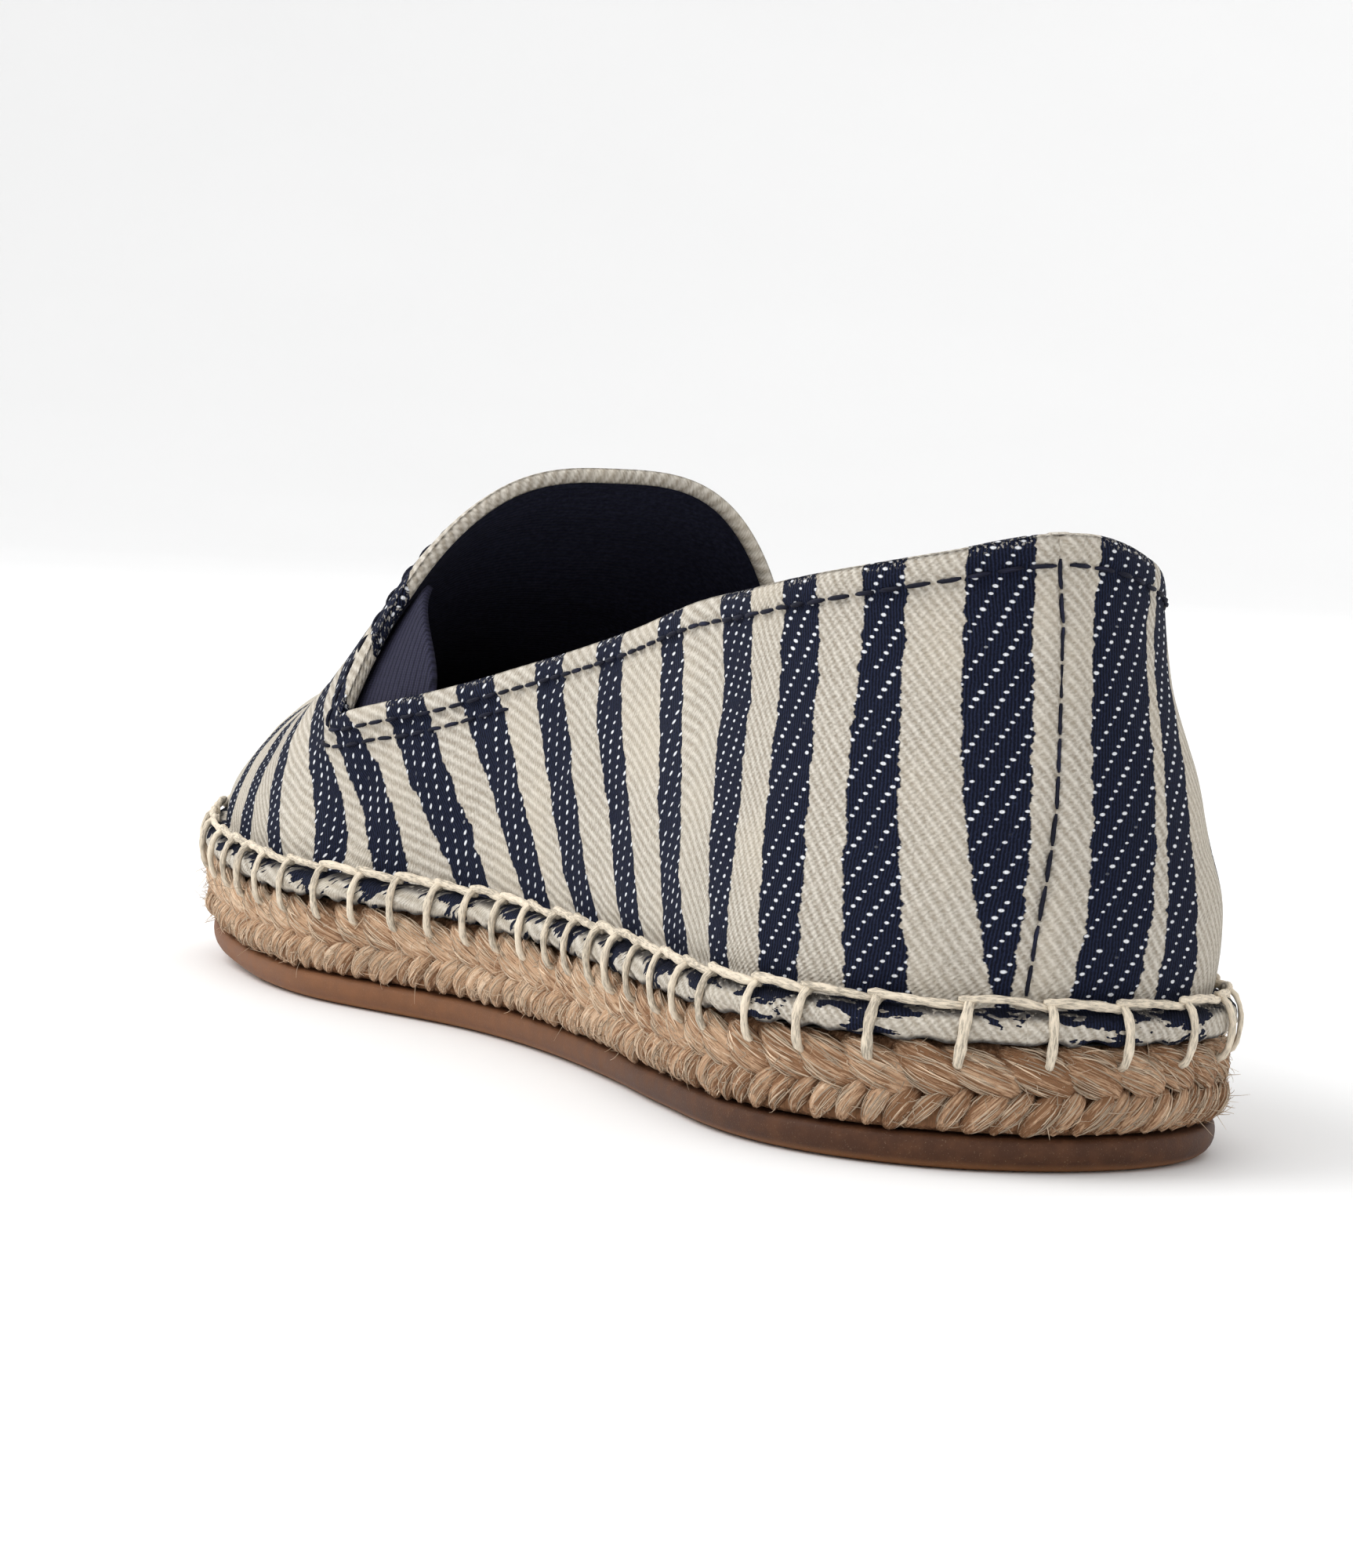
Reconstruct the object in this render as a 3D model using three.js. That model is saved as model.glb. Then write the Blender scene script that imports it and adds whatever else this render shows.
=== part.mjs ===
// A flat slip-on espadrille for the right foot: a striped canvas upper with a rounded tongue, two elastic
// gores in the throat, a turned-out hem that lies on a plaited rope sole, and a thin rubber outsole.
// Millimetres, +Z up. The toe points along -Y and the inner (medial) side of the foot is +X.

import * as THREE from "three";

// Sole
const LENGTH = 250; // rope sole, heel to toe
const BALL_WIDTH = 83; // rope sole across the ball of the foot
const TOE_SPRING = 6; // how far the toe tip lifts off the floor
const SPRING_START = 0.66; // where along the sole the toe begins to lift, as a share of the length
const OUTSOLE_HEIGHT = 4; // rubber
const OUTSOLE_INSET = 1.4; // rubber's side, inside the rope's widest line
const OUTSOLE_ROUND = 3; // width of the rounded lower edge
const ROPE_HEIGHT = 10; // plaited rope, from the rubber to the hem
const PLAIT_PITCH = 4.9; // from one crossing of the plait to the next
const STRAND_RELIEF = 0.55; // how far each strand stands out of the gaps beside it
const STRAND_SLANT = 1.3; // how far the strands lean along the sole between edge and middle, in pitches

// Upper
const WALL = 2; // canvas and lining
const HEM_HEIGHT = 3.8; // turned-out lower edge of the canvas
const HEM_WIDTH = 2.6; // how far the hem reaches out past the wall
const INSTEP_HEIGHT = 60.5; // back of the tongue above the rope, on the centre line
const COLLAR_HEIGHT = 56.2; // back of the collar above the rope
const THROAT = 0.645; // where the tongue and the quarters part, as a share of the length from the heel
const TONGUE_REACH = 0.045; // how far the middle of the tongue lies behind its corners, as a share of the length
const CONE_HEEL = 0.12; // heel end of the line that the sections close on, as a share of the length
const CONE_TOE = 0.93; // toe end of that line
const SWELL_TURN = 0.27; // share of the section's rise where the heel's swell turns into a hollow
const SWELL_END = 0.54; // share of the section's rise where that hollow ends, at the collar

// Loose pieces
const INSOLE_THICKNESS = 3;
const GORE_THICKNESS = 1.2; // elastic
const GORE_LAP = 6; // how far the elastic reaches under the canvas
const GORE_BACK = 0.545; // where the gore's free edge leaves the quarter, as a share of the length
const GORE_RISE = 20; // how high the gore's free edge meets the tongue, above the throat's corner
const GORE_BOW = 0.75; // power of the free edge's curve: 1 is straight, less bows it back
const TAG_LENGTH = 9; // small metal tag near the heel, on the outer side
const TAG_HEIGHT = 5;
const TAG_THICKNESS = 0.8;
const TAG_DROP = 7; // from the collar's edge to the tag
const TAG_AT = 0.13; // share of the length from the heel
const GAP = 0.3; // clearance between pieces that touch
const CURVED_GAP = 0.5; // clearance of curved pieces beside the canvas, where the facets lie differently

// Numbers of facets
const ROPE_ROWS_PER_PITCH = 2;
const SOLE_STATIONS = 80;
const QUARTER_STATIONS = 20;
const VAMP_STATIONS = 13;
const QUARTER_ROWS = 6;
const TONGUE_ROWS = 7;

const MEDIAL = 1;
const LATERAL = -1;

// Half widths of the rope sole as shares of its ball width. Each is multiplied by the sine of the angle round
// the outline, so that both ends close round. The waist is cut in further on the inner side.
const OUTLINE = [
  { at: 0.0, medial: 0.735, lateral: 0.735 },
  { at: 0.1, medial: 0.615, lateral: 0.585 },
  { at: 0.22, medial: 0.455, lateral: 0.48 },
  { at: 0.36, medial: 0.36, lateral: 0.4 },
  { at: 0.5, medial: 0.372, lateral: 0.388 },
  { at: 0.64, medial: 0.525, lateral: 0.48 },
  { at: 0.76, medial: 0.6, lateral: 0.555 },
  { at: 0.88, medial: 0.672, lateral: 0.588 },
  { at: 1.0, medial: 0.69, lateral: 0.66 },
];

// The last's sections. rise is the height of the closed section over the rope as a share of the instep height:
// behind the throat it is above the foot's opening and only shapes the walls. square is the power of the
// section's rounded arch, lean how far its walls come in by the top, swell how much they bulge over the hem and
// hollow above it, and across its middle's place from the sole's centre line as a share of the ball width.
const SECTIONS = [
  { at: 0.1, rise: 1.71, square: 5.0, lean: 0.58, swell: 9.5, across: 0.0 },
  { at: 0.2, rise: 1.67, square: 4.6, lean: 0.36, swell: 7.0, across: 0.0 },
  { at: 0.4, rise: 1.44, square: 3.8, lean: 0.22, swell: 2.0, across: 0.0 },
  { at: 0.53, rise: 1.17, square: 3.3, lean: 0.15, swell: 0.0, across: 0.006 },
  { at: 0.605, rise: 1.0, square: 3.0, lean: 0.12, swell: 0.0, across: 0.008 },
  { at: 0.7, rise: 0.74, square: 2.25, lean: 0.1, swell: 0.0, across: -0.01 },
  { at: 0.8, rise: 0.51, square: 1.92, lean: 0.08, swell: 0.0, across: 0.005 },
  { at: 0.88, rise: 0.4, square: 2.15, lean: 0.03, swell: 3.0, across: 0.02 },
  { at: 0.93, rise: 0.355, square: 2.8, lean: 0.0, swell: 6.0, across: 0.03 },
];

// The collar's edge above the rope, as a share of the collar's height at the back.
const TOPLINE = [
  { at: 0.0, height: 1.0 },
  { at: 0.01, height: 0.982 },
  { at: 0.03, height: 0.954 },
  { at: 0.08, height: 0.912 },
  { at: 0.17, height: 0.853 },
  { at: 0.25, height: 0.808 },
  { at: 0.34, height: 0.731 },
  { at: 0.48, height: 0.61 },
  { at: 0.57, height: 0.514 },
  { at: THROAT, height: 0.448 },
];

// The rope's side from its foot to its top. inset is in strand widths of the relief, up a share of the rope's
// height, and strand the share of the relief that shows there. The waist at half height is where strands cross.
const ROPE_SIDE = [
  { up: 0.0, inset: 4.8, strand: 0.0 },
  { up: 0.12, inset: 1.4, strand: 0.5 },
  { up: 0.3, inset: 0.0, strand: 1.0 },
  { up: 0.5, inset: 1.7, strand: 0.6 },
  { up: 0.7, inset: 0.0, strand: 1.0 },
  { up: 0.88, inset: 1.1, strand: 0.6 },
  { up: 1.0, inset: 4.4, strand: 0.0 },
];

// The rubber's side: across is a share of the rounded edge's width, up a share of the rubber's height.
const RUBBER_SIDE = [
  { up: 0.0, across: 1.0 },
  { up: 0.1, across: 0.45 },
  { up: 0.32, across: 0.1 },
  { up: 0.62, across: 0.0 },
  { up: 1.0, across: 0.12 },
];

// The hem's outer face from its foot to the stitched crease: out is a share of the hem's width.
const HEM_SIDE = [
  { up: 0.0, out: 0.95 },
  { up: 0.3, out: 1.15 },
  { up: 0.7, out: 0.95 },
];

// A smooth function through one column of a table: a cubic between rows, with each row's slope taken from
// its neighbours.
function smooth(rows, column) {
  const slope = rows.map((_, i) => {
    const a = rows[Math.max(i - 1, 0)];
    const b = rows[Math.min(i + 1, rows.length - 1)];
    return (b[column] - a[column]) / (b.at - a.at);
  });
  return (at) => {
    const x = THREE.MathUtils.clamp(at, rows[0].at, rows[rows.length - 1].at);
    let i = rows.findIndex((row) => x <= row.at) - 1;
    i = Math.max(i, 0);
    const width = rows[i + 1].at - rows[i].at;
    const s = (x - rows[i].at) / width;
    const rest = 1 - s;
    return (
      rows[i][column] * (1 + 2 * s) * rest * rest +
      slope[i] * width * s * rest * rest +
      rows[i + 1][column] * s * s * (3 - 2 * s) -
      slope[i + 1] * width * s * s * rest
    );
  };
}

const medialHalf = smooth(OUTLINE, "medial");
const lateralHalf = smooth(OUTLINE, "lateral");
const sectionRise = smooth(SECTIONS, "rise");
const sectionSquare = smooth(SECTIONS, "square");
const sectionLean = smooth(SECTIONS, "lean");
const sectionSwell = smooth(SECTIONS, "swell");
const sectionAcross = smooth(SECTIONS, "across");
const toplineShare = smooth(TOPLINE, "height");

// Turn is the angle round the outline: 0 at the back of the heel, PI at the toe tip, the inner side first.
const shareOf = (turn) => (1 - Math.cos(turn)) / 2;
const turnOf = (share) => Math.acos(1 - 2 * share);
const alongOf = (share) => LENGTH * (0.5 - share);

function ropeLine(turn) {
  const share = shareOf(turn);
  const half = (Math.sin(turn) >= 0 ? medialHalf(share) : lateralHalf(share)) * BALL_WIDTH;
  return new THREE.Vector2(half * Math.sin(turn), alongOf(share));
}

// The outline moved inwards by a distance, in plan.
function edge(turn, inset) {
  const step = 0.01;
  const ahead = ropeLine(turn + step);
  const behind = ropeLine(turn - step);
  const outwards = new THREE.Vector2(behind.y - ahead.y, ahead.x - behind.x).normalize();
  return ropeLine(turn).addScaledVector(outwards, -inset);
}

function springAt(share) {
  const past = Math.max(0, (share - SPRING_START) / (1 - SPRING_START));
  return TOE_SPRING * past * past;
}

// A point at an inset from the outline and a height over the floor's side of the sole, with the toe's lift.
function solePoint(turn, inset, height) {
  const plan = edge(turn, inset);
  return new THREE.Vector3(plan.x, plan.y, height + springAt(0.5 - plan.y / LENGTH));
}

// Turns that split each side of the outline into equal lengths.
function evenTurns(count) {
  const fine = 720;
  const turns = [];
  for (const start of [0, Math.PI]) {
    const lengths = [0];
    for (let i = 1; i <= fine; i++) {
      const a = ropeLine(start + (Math.PI * (i - 1)) / fine);
      const b = ropeLine(start + (Math.PI * i) / fine);
      lengths.push(lengths[i - 1] + a.distanceTo(b));
    }
    for (let k = 0; k < count / 2; k++) {
      const wanted = (lengths[fine] * k) / (count / 2);
      let i = lengths.findIndex((length) => length > wanted) - 1;
      i = Math.max(i, 0);
      const part = (wanted - lengths[i]) / (lengths[i + 1] - lengths[i]);
      turns.push(start + (Math.PI * (i + part)) / fine);
    }
  }
  return turns;
}

function outlineLength() {
  const fine = 720;
  let length = 0;
  for (let i = 0; i < fine; i++) {
    length += ropeLine((2 * Math.PI * i) / fine).distanceTo(ropeLine((2 * Math.PI * (i + 1)) / fine));
  }
  return length;
}

function geometryOf(points, faces) {
  const made = new THREE.BufferGeometry();
  made.setAttribute("position", new THREE.Float32BufferAttribute(points.flatMap((p) => [p.x, p.y, p.z]), 3));
  made.setIndex(faces.flat());
  return made;
}

// A closed solid from rings of equal count that climb from the bottom. Each end is closed straight across
// the sole, from one side to the other.
function stackedRings(rings) {
  const count = rings[0].length;
  const faces = [];
  for (let r = 0; r + 1 < rings.length; r++) {
    for (let i = 0; i < count; i++) {
      const a = r * count + i;
      const b = r * count + ((i + 1) % count);
      faces.push([a, b + count, b], [a, a + count, b + count]);
    }
  }
  const top = (rings.length - 1) * count;
  for (let i = 0; i < count / 2; i++) {
    const across = (k) => (count - k) % count;
    const [a, b, c, d] = [i, i + 1, across(i + 1), across(i)];
    for (const [p, q, r] of [[a, b, c], [a, c, d]]) {
      if (p === q || q === r || r === p) continue;
      faces.push([top + r, top + q, top + p], [p, q, r]);
    }
  }
  return geometryOf(rings.flat(), faces);
}

// A closed shell between two sheets with the same faces: the outer as it is, the inner turned round, and a
// rim along every free edge.
function shell(outer, inner, faces) {
  const count = outer.length;
  const edges = new Set(faces.flatMap(([a, b, c]) => [`${a} ${b}`, `${b} ${c}`, `${c} ${a}`]));
  const closed = faces.flatMap(([a, b, c]) => [[a, b, c], [count + c, count + b, count + a]]);
  for (const pair of edges) {
    const [a, b] = pair.split(" ").map(Number);
    if (edges.has(`${b} ${a}`)) continue;
    closed.push([b, a, count + a], [b, count + a, count + b]);
  }
  return geometryOf([...outer, ...inner], closed);
}

// The points of a sheet moved along its own normals.
function offset(points, faces, distance) {
  const normals = points.map(() => new THREE.Vector3());
  for (const face of faces) {
    const [a, b, c] = face.map((i) => points[i]);
    const normal = b.clone().sub(a).cross(c.clone().sub(a));
    for (const i of face) normals[i].add(normal);
  }
  return points.map((p, i) => p.clone().addScaledVector(normals[i].normalize(), distance));
}

const ROPE_FOOT = OUTSOLE_HEIGHT + GAP;
const FEATHER = ROPE_FOOT + ROPE_HEIGHT + GAP; // the level that the upper and the insole stand on

// Where on the line that the sections close on a point of the outline belongs.
const coneOf = (share) => CONE_HEEL + (CONE_TOE - CONE_HEEL) * share;

// A point of the last: turn is its foot on the outline, rise how high it is as a share of its section.
function lastPoint(turn, rise) {
  const share = shareOf(turn);
  const foot = edge(turn, HEM_WIDTH);
  const cone = coneOf(share);
  const square = sectionSquare(cone);
  const spread = Math.pow(Math.max(0, 1 - Math.pow(rise, square)), 1 / square);
  const swell = sectionSwell(cone) * rise * (SWELL_TURN - rise) * Math.max(0, SWELL_END - rise);
  const reach = spread * (1 - sectionLean(cone) * rise + swell);
  const middle = new THREE.Vector2(sectionAcross(cone) * BALL_WIDTH, alongOf(cone));
  const plan = middle.clone().add(foot.sub(middle).multiplyScalar(reach));
  return new THREE.Vector3(
    plan.x,
    plan.y,
    FEATHER + HEM_HEIGHT + springAt(share) + (sectionHeight(share) - HEM_HEIGHT) * rise,
  );
}

function sectionHeight(share) {
  return INSTEP_HEIGHT * sectionRise(coneOf(share));
}

// The rise of a point that is a given height above the rope.
function riseAt(share, height) {
  return (height - HEM_HEIGHT) / (sectionHeight(share) - HEM_HEIGHT);
}

const toplineHeight = (share) => COLLAR_HEIGHT * toplineShare(share);
const sideTurn = (turn, side) => (side === MEDIAL ? turn : 2 * Math.PI - turn);

// The rises of one arch of the vamp, from the crease to the ridge. The first rows end level with the throat's
// corner.
function vampRises(share) {
  const corner = Math.min(riseAt(THROAT, toplineHeight(THROAT)), 0.95);
  const square = sectionSquare(coneOf(share));
  const start = Math.asin(Math.pow(corner, square / 2));
  const rises = [];
  for (let j = 0; j < QUARTER_ROWS; j++) rises.push((corner * j) / QUARTER_ROWS);
  for (let j = 0; j <= TONGUE_ROWS; j++) {
    const angle = start + ((Math.PI / 2 - start) * j) / TONGUE_ROWS;
    rises.push(Math.pow(Math.sin(angle), 2 / square));
  }
  return rises;
}

// The upper's outer sheet. Columns run from the back of the heel to the toe tip on each side. Behind the throat
// they end at the collar, and ahead of it they meet on the ridge.
function upperSheet() {
  const points = [];
  const inner = [];
  const faces = [];
  const known = new Map();
  const throatTurn = turnOf(THROAT);
  const columns = QUARTER_STATIONS + VAMP_STATIONS;
  const hemRows = HEM_SIDE.length;
  const quarterTop = hemRows + QUARTER_ROWS;
  const ridge = quarterTop + TONGUE_ROWS;

  const turnAt = (k) =>
    k <= QUARTER_STATIONS
      ? (throatTurn * k) / QUARTER_STATIONS
      : throatTurn + ((Math.PI - throatTurn) * (k - QUARTER_STATIONS)) / VAMP_STATIONS;

  function place(side, k, row) {
    const shared = k === 0 || k === columns || row === ridge;
    const key = `${shared ? 0 : side} ${k} ${row}`;
    if (known.has(key)) return known.get(key);
    const turn = turnAt(k);
    const share = shareOf(turn);
    let outerPoint;
    let innerPoint = null;
    if (row < hemRows) {
      const hem = HEM_SIDE[row];
      outerPoint = solePoint(sideTurn(turn, side), HEM_WIDTH * (1 - hem.out), FEATHER + HEM_HEIGHT * hem.up);
      innerPoint = solePoint(sideTurn(turn, side), HEM_WIDTH + WALL, FEATHER + HEM_HEIGHT * hem.up);
    } else if (k <= QUARTER_STATIONS && row <= quarterTop) {
      const top = riseAt(share, toplineHeight(share));
      outerPoint = lastPoint(sideTurn(turn, side), (top * (row - hemRows)) / QUARTER_ROWS);
    } else {
      const past = (k - QUARTER_STATIONS) / VAMP_STATIONS;
      const climb = Math.max(0, (row - quarterTop) / TONGUE_ROWS);
      const back = TONGUE_REACH * Math.sin((climb * Math.PI) / 2) * Math.max(0, 1 - past * 1.6);
      const leaned = turnOf(share - back);
      outerPoint = lastPoint(sideTurn(leaned, side), vampRises(share)[row - hemRows]);
    }
    if (row === hemRows) innerPoint = solePoint(sideTurn(turn, side), HEM_WIDTH + WALL, FEATHER + HEM_HEIGHT);
    known.set(key, points.length);
    points.push(outerPoint);
    inner.push(innerPoint);
    return points.length - 1;
  }

  for (const side of [MEDIAL, LATERAL]) {
    for (let k = 0; k < columns; k++) {
      const rows = k < QUARTER_STATIONS ? quarterTop : ridge;
      for (let row = 0; row < rows; row++) {
        const corners = [[k, row], [k + 1, row], [k + 1, row + 1], [k, row + 1]];
        const [a, b, c, d] = corners.map(([column, level]) => place(side, column, level));
        for (const face of [[a, b, c], [a, c, d]]) {
          if (new Set(face).size < 3) continue;
          faces.push(side === MEDIAL ? face.reverse() : face);
        }
      }
    }
  }
  return { points, inner, faces };
}

function upperGeometry() {
  const { points, inner, faces } = upperSheet();
  const lining = offset(points, faces, -WALL);
  return shell(points, inner.map((fixed, i) => fixed ?? lining[i]), faces);
}

// A patch that lies on the last between two shares of the length and two heights, from one distance off the
// last's surface to another.
function patch(side, from, to, lowAt, highAt, near, far, columns, rows) {
  const points = [];
  const faces = [];
  for (let i = 0; i <= columns; i++) {
    const share = from + ((to - from) * i) / columns;
    for (let j = 0; j <= rows; j++) {
      const height = lowAt(share) + ((highAt(share) - lowAt(share)) * j) / rows;
      points.push(lastPoint(sideTurn(turnOf(share), side), riseAt(share, height)));
    }
  }
  for (let i = 0; i < columns; i++) {
    for (let j = 0; j < rows; j++) {
      const a = i * (rows + 1) + j;
      const b = a + rows + 1;
      for (const face of [[a, b, b + 1], [a, b + 1, a + 1]]) {
        faces.push(side === MEDIAL ? face.reverse() : face);
      }
    }
  }
  return shell(offset(points, faces, far), offset(points, faces, near), faces);
}

// An elastic gore: it fills the corner between the tongue and the quarter and laps under both.
function goreGeometry(side) {
  const lap = GORE_LAP / LENGTH;
  const corner = toplineHeight(THROAT);
  const low = (share) => (share < THROAT ? toplineHeight(share) : corner) - GORE_LAP;
  const high = (share) => {
    const part = THREE.MathUtils.clamp((share - GORE_BACK) / (THROAT - GORE_BACK), 0, 1);
    const foot = toplineHeight(Math.min(share, THROAT));
    return foot + (corner + GORE_RISE - foot) * Math.pow(part, GORE_BOW);
  };
  const under = -(WALL + CURVED_GAP);
  return patch(side, GORE_BACK - lap / 2, THROAT + lap, low, high, under - GORE_THICKNESS, under, 9, 4);
}

function tagGeometry() {
  const half = TAG_LENGTH / LENGTH / 2;
  const top = toplineHeight(TAG_AT) - TAG_DROP;
  return patch(
    LATERAL, TAG_AT - half, TAG_AT + half, () => top - TAG_HEIGHT, () => top, GAP, GAP + TAG_THICKNESS, 3, 2,
  );
}

function ropeGeometry() {
  const pitches = 2 * Math.round(outlineLength() / PLAIT_PITCH / 2);
  const turns = evenTurns(pitches * ROPE_ROWS_PER_PITCH);
  const count = turns.length;
  const rings = ROPE_SIDE.map((row) => {
    const lean = STRAND_SLANT * ROPE_ROWS_PER_PITCH * (1 - Math.abs(2 * row.up - 1));
    return turns.map((_, i) => {
      const place = (((i - lean) % count) + count) % count;
      const low = turns[Math.floor(place)];
      const high = Math.floor(place) + 1 < count ? turns[Math.floor(place) + 1] : 2 * Math.PI;
      const turn = low + (high - low) * (place - Math.floor(place));
      const relief = i % ROPE_ROWS_PER_PITCH === 0 ? 0 : STRAND_RELIEF * row.strand;
      return solePoint(turn, row.inset * STRAND_RELIEF + relief, ROPE_FOOT + ROPE_HEIGHT * row.up);
    });
  });
  return stackedRings(rings);
}

function outsoleGeometry() {
  const turns = evenTurns(SOLE_STATIONS);
  return stackedRings(
    RUBBER_SIDE.map((row) =>
      turns.map((turn) => solePoint(turn, OUTSOLE_INSET + OUTSOLE_ROUND * row.across, OUTSOLE_HEIGHT * row.up)),
    ),
  );
}

function insoleGeometry() {
  const turns = evenTurns(SOLE_STATIONS);
  const inset = HEM_WIDTH + WALL + CURVED_GAP;
  const softened = INSOLE_THICKNESS / 3;
  const levels = [[0, 0], [0, INSOLE_THICKNESS - softened], [softened, INSOLE_THICKNESS]];
  return stackedRings(
    levels.map(([inwards, up]) => turns.map((turn) => solePoint(turn, inset + inwards, FEATHER + up))),
  );
}

const canvas = new THREE.MeshStandardMaterial({ color: 0xd9d4c4, roughness: 0.9, metalness: 0 });
const elastic = new THREE.MeshStandardMaterial({ color: 0x23263c, roughness: 0.8, metalness: 0 });
const rope = new THREE.MeshStandardMaterial({ color: 0xc49a70, roughness: 0.95, metalness: 0 });
const rubber = new THREE.MeshStandardMaterial({ color: 0x8a5a34, roughness: 0.5, metalness: 0 });
const footbed = new THREE.MeshStandardMaterial({ color: 0xb8a183, roughness: 0.9, metalness: 0 });
const gilt = new THREE.MeshStandardMaterial({ color: 0xc9a45c, roughness: 0.25, metalness: 1 });

const espadrille = new THREE.Group();

function add(name, geometry, material) {
  const mesh = new THREE.Mesh(geometry, material);
  mesh.name = name;
  espadrille.add(mesh);
}

add("outsole", outsoleGeometry(), rubber);
add("rope_sole", ropeGeometry(), rope);
add("insole", insoleGeometry(), footbed);
add("upper", upperGeometry(), canvas);
add("gore_medial", goreGeometry(MEDIAL), elastic);
add("gore_lateral", goreGeometry(LATERAL), elastic);
add("side_tag", tagGeometry(), gilt);

// The origin is at the middle of the shoe's outer box, on the floor.
const box = new THREE.Box3().setFromObject(espadrille);
espadrille.position.set(-(box.min.x + box.max.x) / 2, -(box.min.y + box.max.y) / 2, -box.min.z);

export default espadrille;
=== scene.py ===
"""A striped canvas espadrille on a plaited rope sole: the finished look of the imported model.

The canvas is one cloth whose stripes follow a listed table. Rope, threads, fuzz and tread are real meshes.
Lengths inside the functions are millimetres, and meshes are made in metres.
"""

import math

import bpy
import numpy as np
from bpy.props import FloatProperty, FloatVectorProperty, IntProperty, PointerProperty
from bpy.types import Operator, Panel, PropertyGroup
from mathutils import Matrix, Vector


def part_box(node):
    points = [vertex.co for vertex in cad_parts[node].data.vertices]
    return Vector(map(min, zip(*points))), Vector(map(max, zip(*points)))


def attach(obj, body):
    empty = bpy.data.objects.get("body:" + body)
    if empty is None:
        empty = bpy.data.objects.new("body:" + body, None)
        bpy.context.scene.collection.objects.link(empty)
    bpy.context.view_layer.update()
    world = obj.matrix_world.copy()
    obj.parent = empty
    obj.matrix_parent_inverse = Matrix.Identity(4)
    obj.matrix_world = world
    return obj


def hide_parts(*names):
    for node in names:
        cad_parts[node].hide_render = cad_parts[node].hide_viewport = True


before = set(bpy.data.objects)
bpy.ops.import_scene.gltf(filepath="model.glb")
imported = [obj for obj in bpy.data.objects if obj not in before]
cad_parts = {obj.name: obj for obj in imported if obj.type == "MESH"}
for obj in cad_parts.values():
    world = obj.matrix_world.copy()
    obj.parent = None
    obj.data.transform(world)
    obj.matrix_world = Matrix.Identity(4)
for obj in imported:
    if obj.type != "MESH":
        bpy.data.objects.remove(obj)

bl_info = {
    "name": "Striped Espadrille",
    "version": (1, 0, 0),
    "blender": (4, 5, 0),
    "location": "View3D > Sidebar > Espadrille",
    "description": "Dresses a slip-on espadrille: striped canvas, threads, plaited rope, rubber and elastic",
    "category": "Object",
}

MM = 0.001
SEED_STEP = 7.31

# The sole's outline and the last's sections, by share of the length from the heel.
OUTLINE = {
    "at": [0, 0.1, 0.22, 0.36, 0.5, 0.64, 0.76, 0.88, 1],
    "inner": [0.735, 0.615, 0.455, 0.36, 0.372, 0.525, 0.6, 0.672, 0.69],
    "outer": [0.735, 0.585, 0.48, 0.4, 0.388, 0.48, 0.555, 0.588, 0.66],
}
SECTIONS = {
    "at": [0.1, 0.2, 0.4, 0.53, 0.605, 0.7, 0.8, 0.88, 0.93],
    "rise": [1.71, 1.67, 1.44, 1.17, 1.0, 0.74, 0.51, 0.4, 0.355],
    "square": [5, 4.6, 3.8, 3.3, 3.0, 2.25, 1.92, 2.15, 2.8],
    "lean": [0.58, 0.36, 0.22, 0.15, 0.12, 0.1, 0.08, 0.03, 0],
    "swell": [9.5, 7, 2, 0, 0, 0, 0, 3, 6],
    "across": [0, 0, 0, 0.006, 0.008, -0.01, 0.005, 0.02, 0.03],
}
THROAT = 0.645
TOPLINE = {
    "at": [0, 0.01, 0.03, 0.08, 0.17, 0.25, 0.34, 0.48, 0.57, THROAT],
    "height": [1, 0.982, 0.954, 0.912, 0.853, 0.808, 0.731, 0.61, 0.514, 0.448],
}
TONGUE_REACH = 0.045
CONE_HEEL, CONE_TOE = 0.12, 0.93
SWELL_TURN, SWELL_END = 0.27, 0.54
SPRING_START = 0.66
OUTSOLE_HEIGHT, ROPE_HEIGHT, GAP = 4.0, 10.0, 0.3
ROPE_FOOT = OUTSOLE_HEIGHT + GAP
FEATHER = ROPE_FOOT + ROPE_HEIGHT + GAP

# Navy stripes by their distance along the crease from the heel's middle, the inner side first: where the
# middle line lies at the crease, half way up, at the collar and on the vamp's ridge, and the stripe's width at
# the first three.
FRONT_STRIPES = [
    (103, 117.2, 125.8, 140, 8.6, 8.6, 8.6),
    (120.8, 134.5, 145.6, 158, 8.6, 8.6, 8.6),
    (139, 151.2, 160.8, 179.6, 8.4, 8.6, 8.4),
    (158, 164.9, 178, 190, 7.8, 7.2, 6.2),
    (172.7, 176.2, 189, 200.5, 8, 8, 7),
    (190, 197.6, 204.9, 212, 6.4, 6, 6),
    (208, 210.5, 214.5, 222, 6.8, 6.4, 6.4),
    (225, 226, 228, 233.5, 7, 7, 7),
    (243, 243.5, 245, 248, 7, 7, 7),
    (260, 260, 261, 262, 7, 7, 7),
    (277, 277, 277, 278, 7, 7, 7),
]
INNER_HEEL_STRIPES = [
    (9.9, 11.3, 11.8, 12, 1.5, 8.6, 10),
    (23.9, 26.9, 29, 30, 8.3, 6.7, 6.4),
    (38.1, 39.7, 43.8, 45, 6.2, 7.6, 7),
    (51.1, 54.3, 61, 65, 4.9, 8.1, 10),
    (65.1, 75.4, 84.3, 90, 8.6, 8.6, 8.6),
    (83, 98, 105.8, 115, 8.6, 8.6, 8.6),
]
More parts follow.
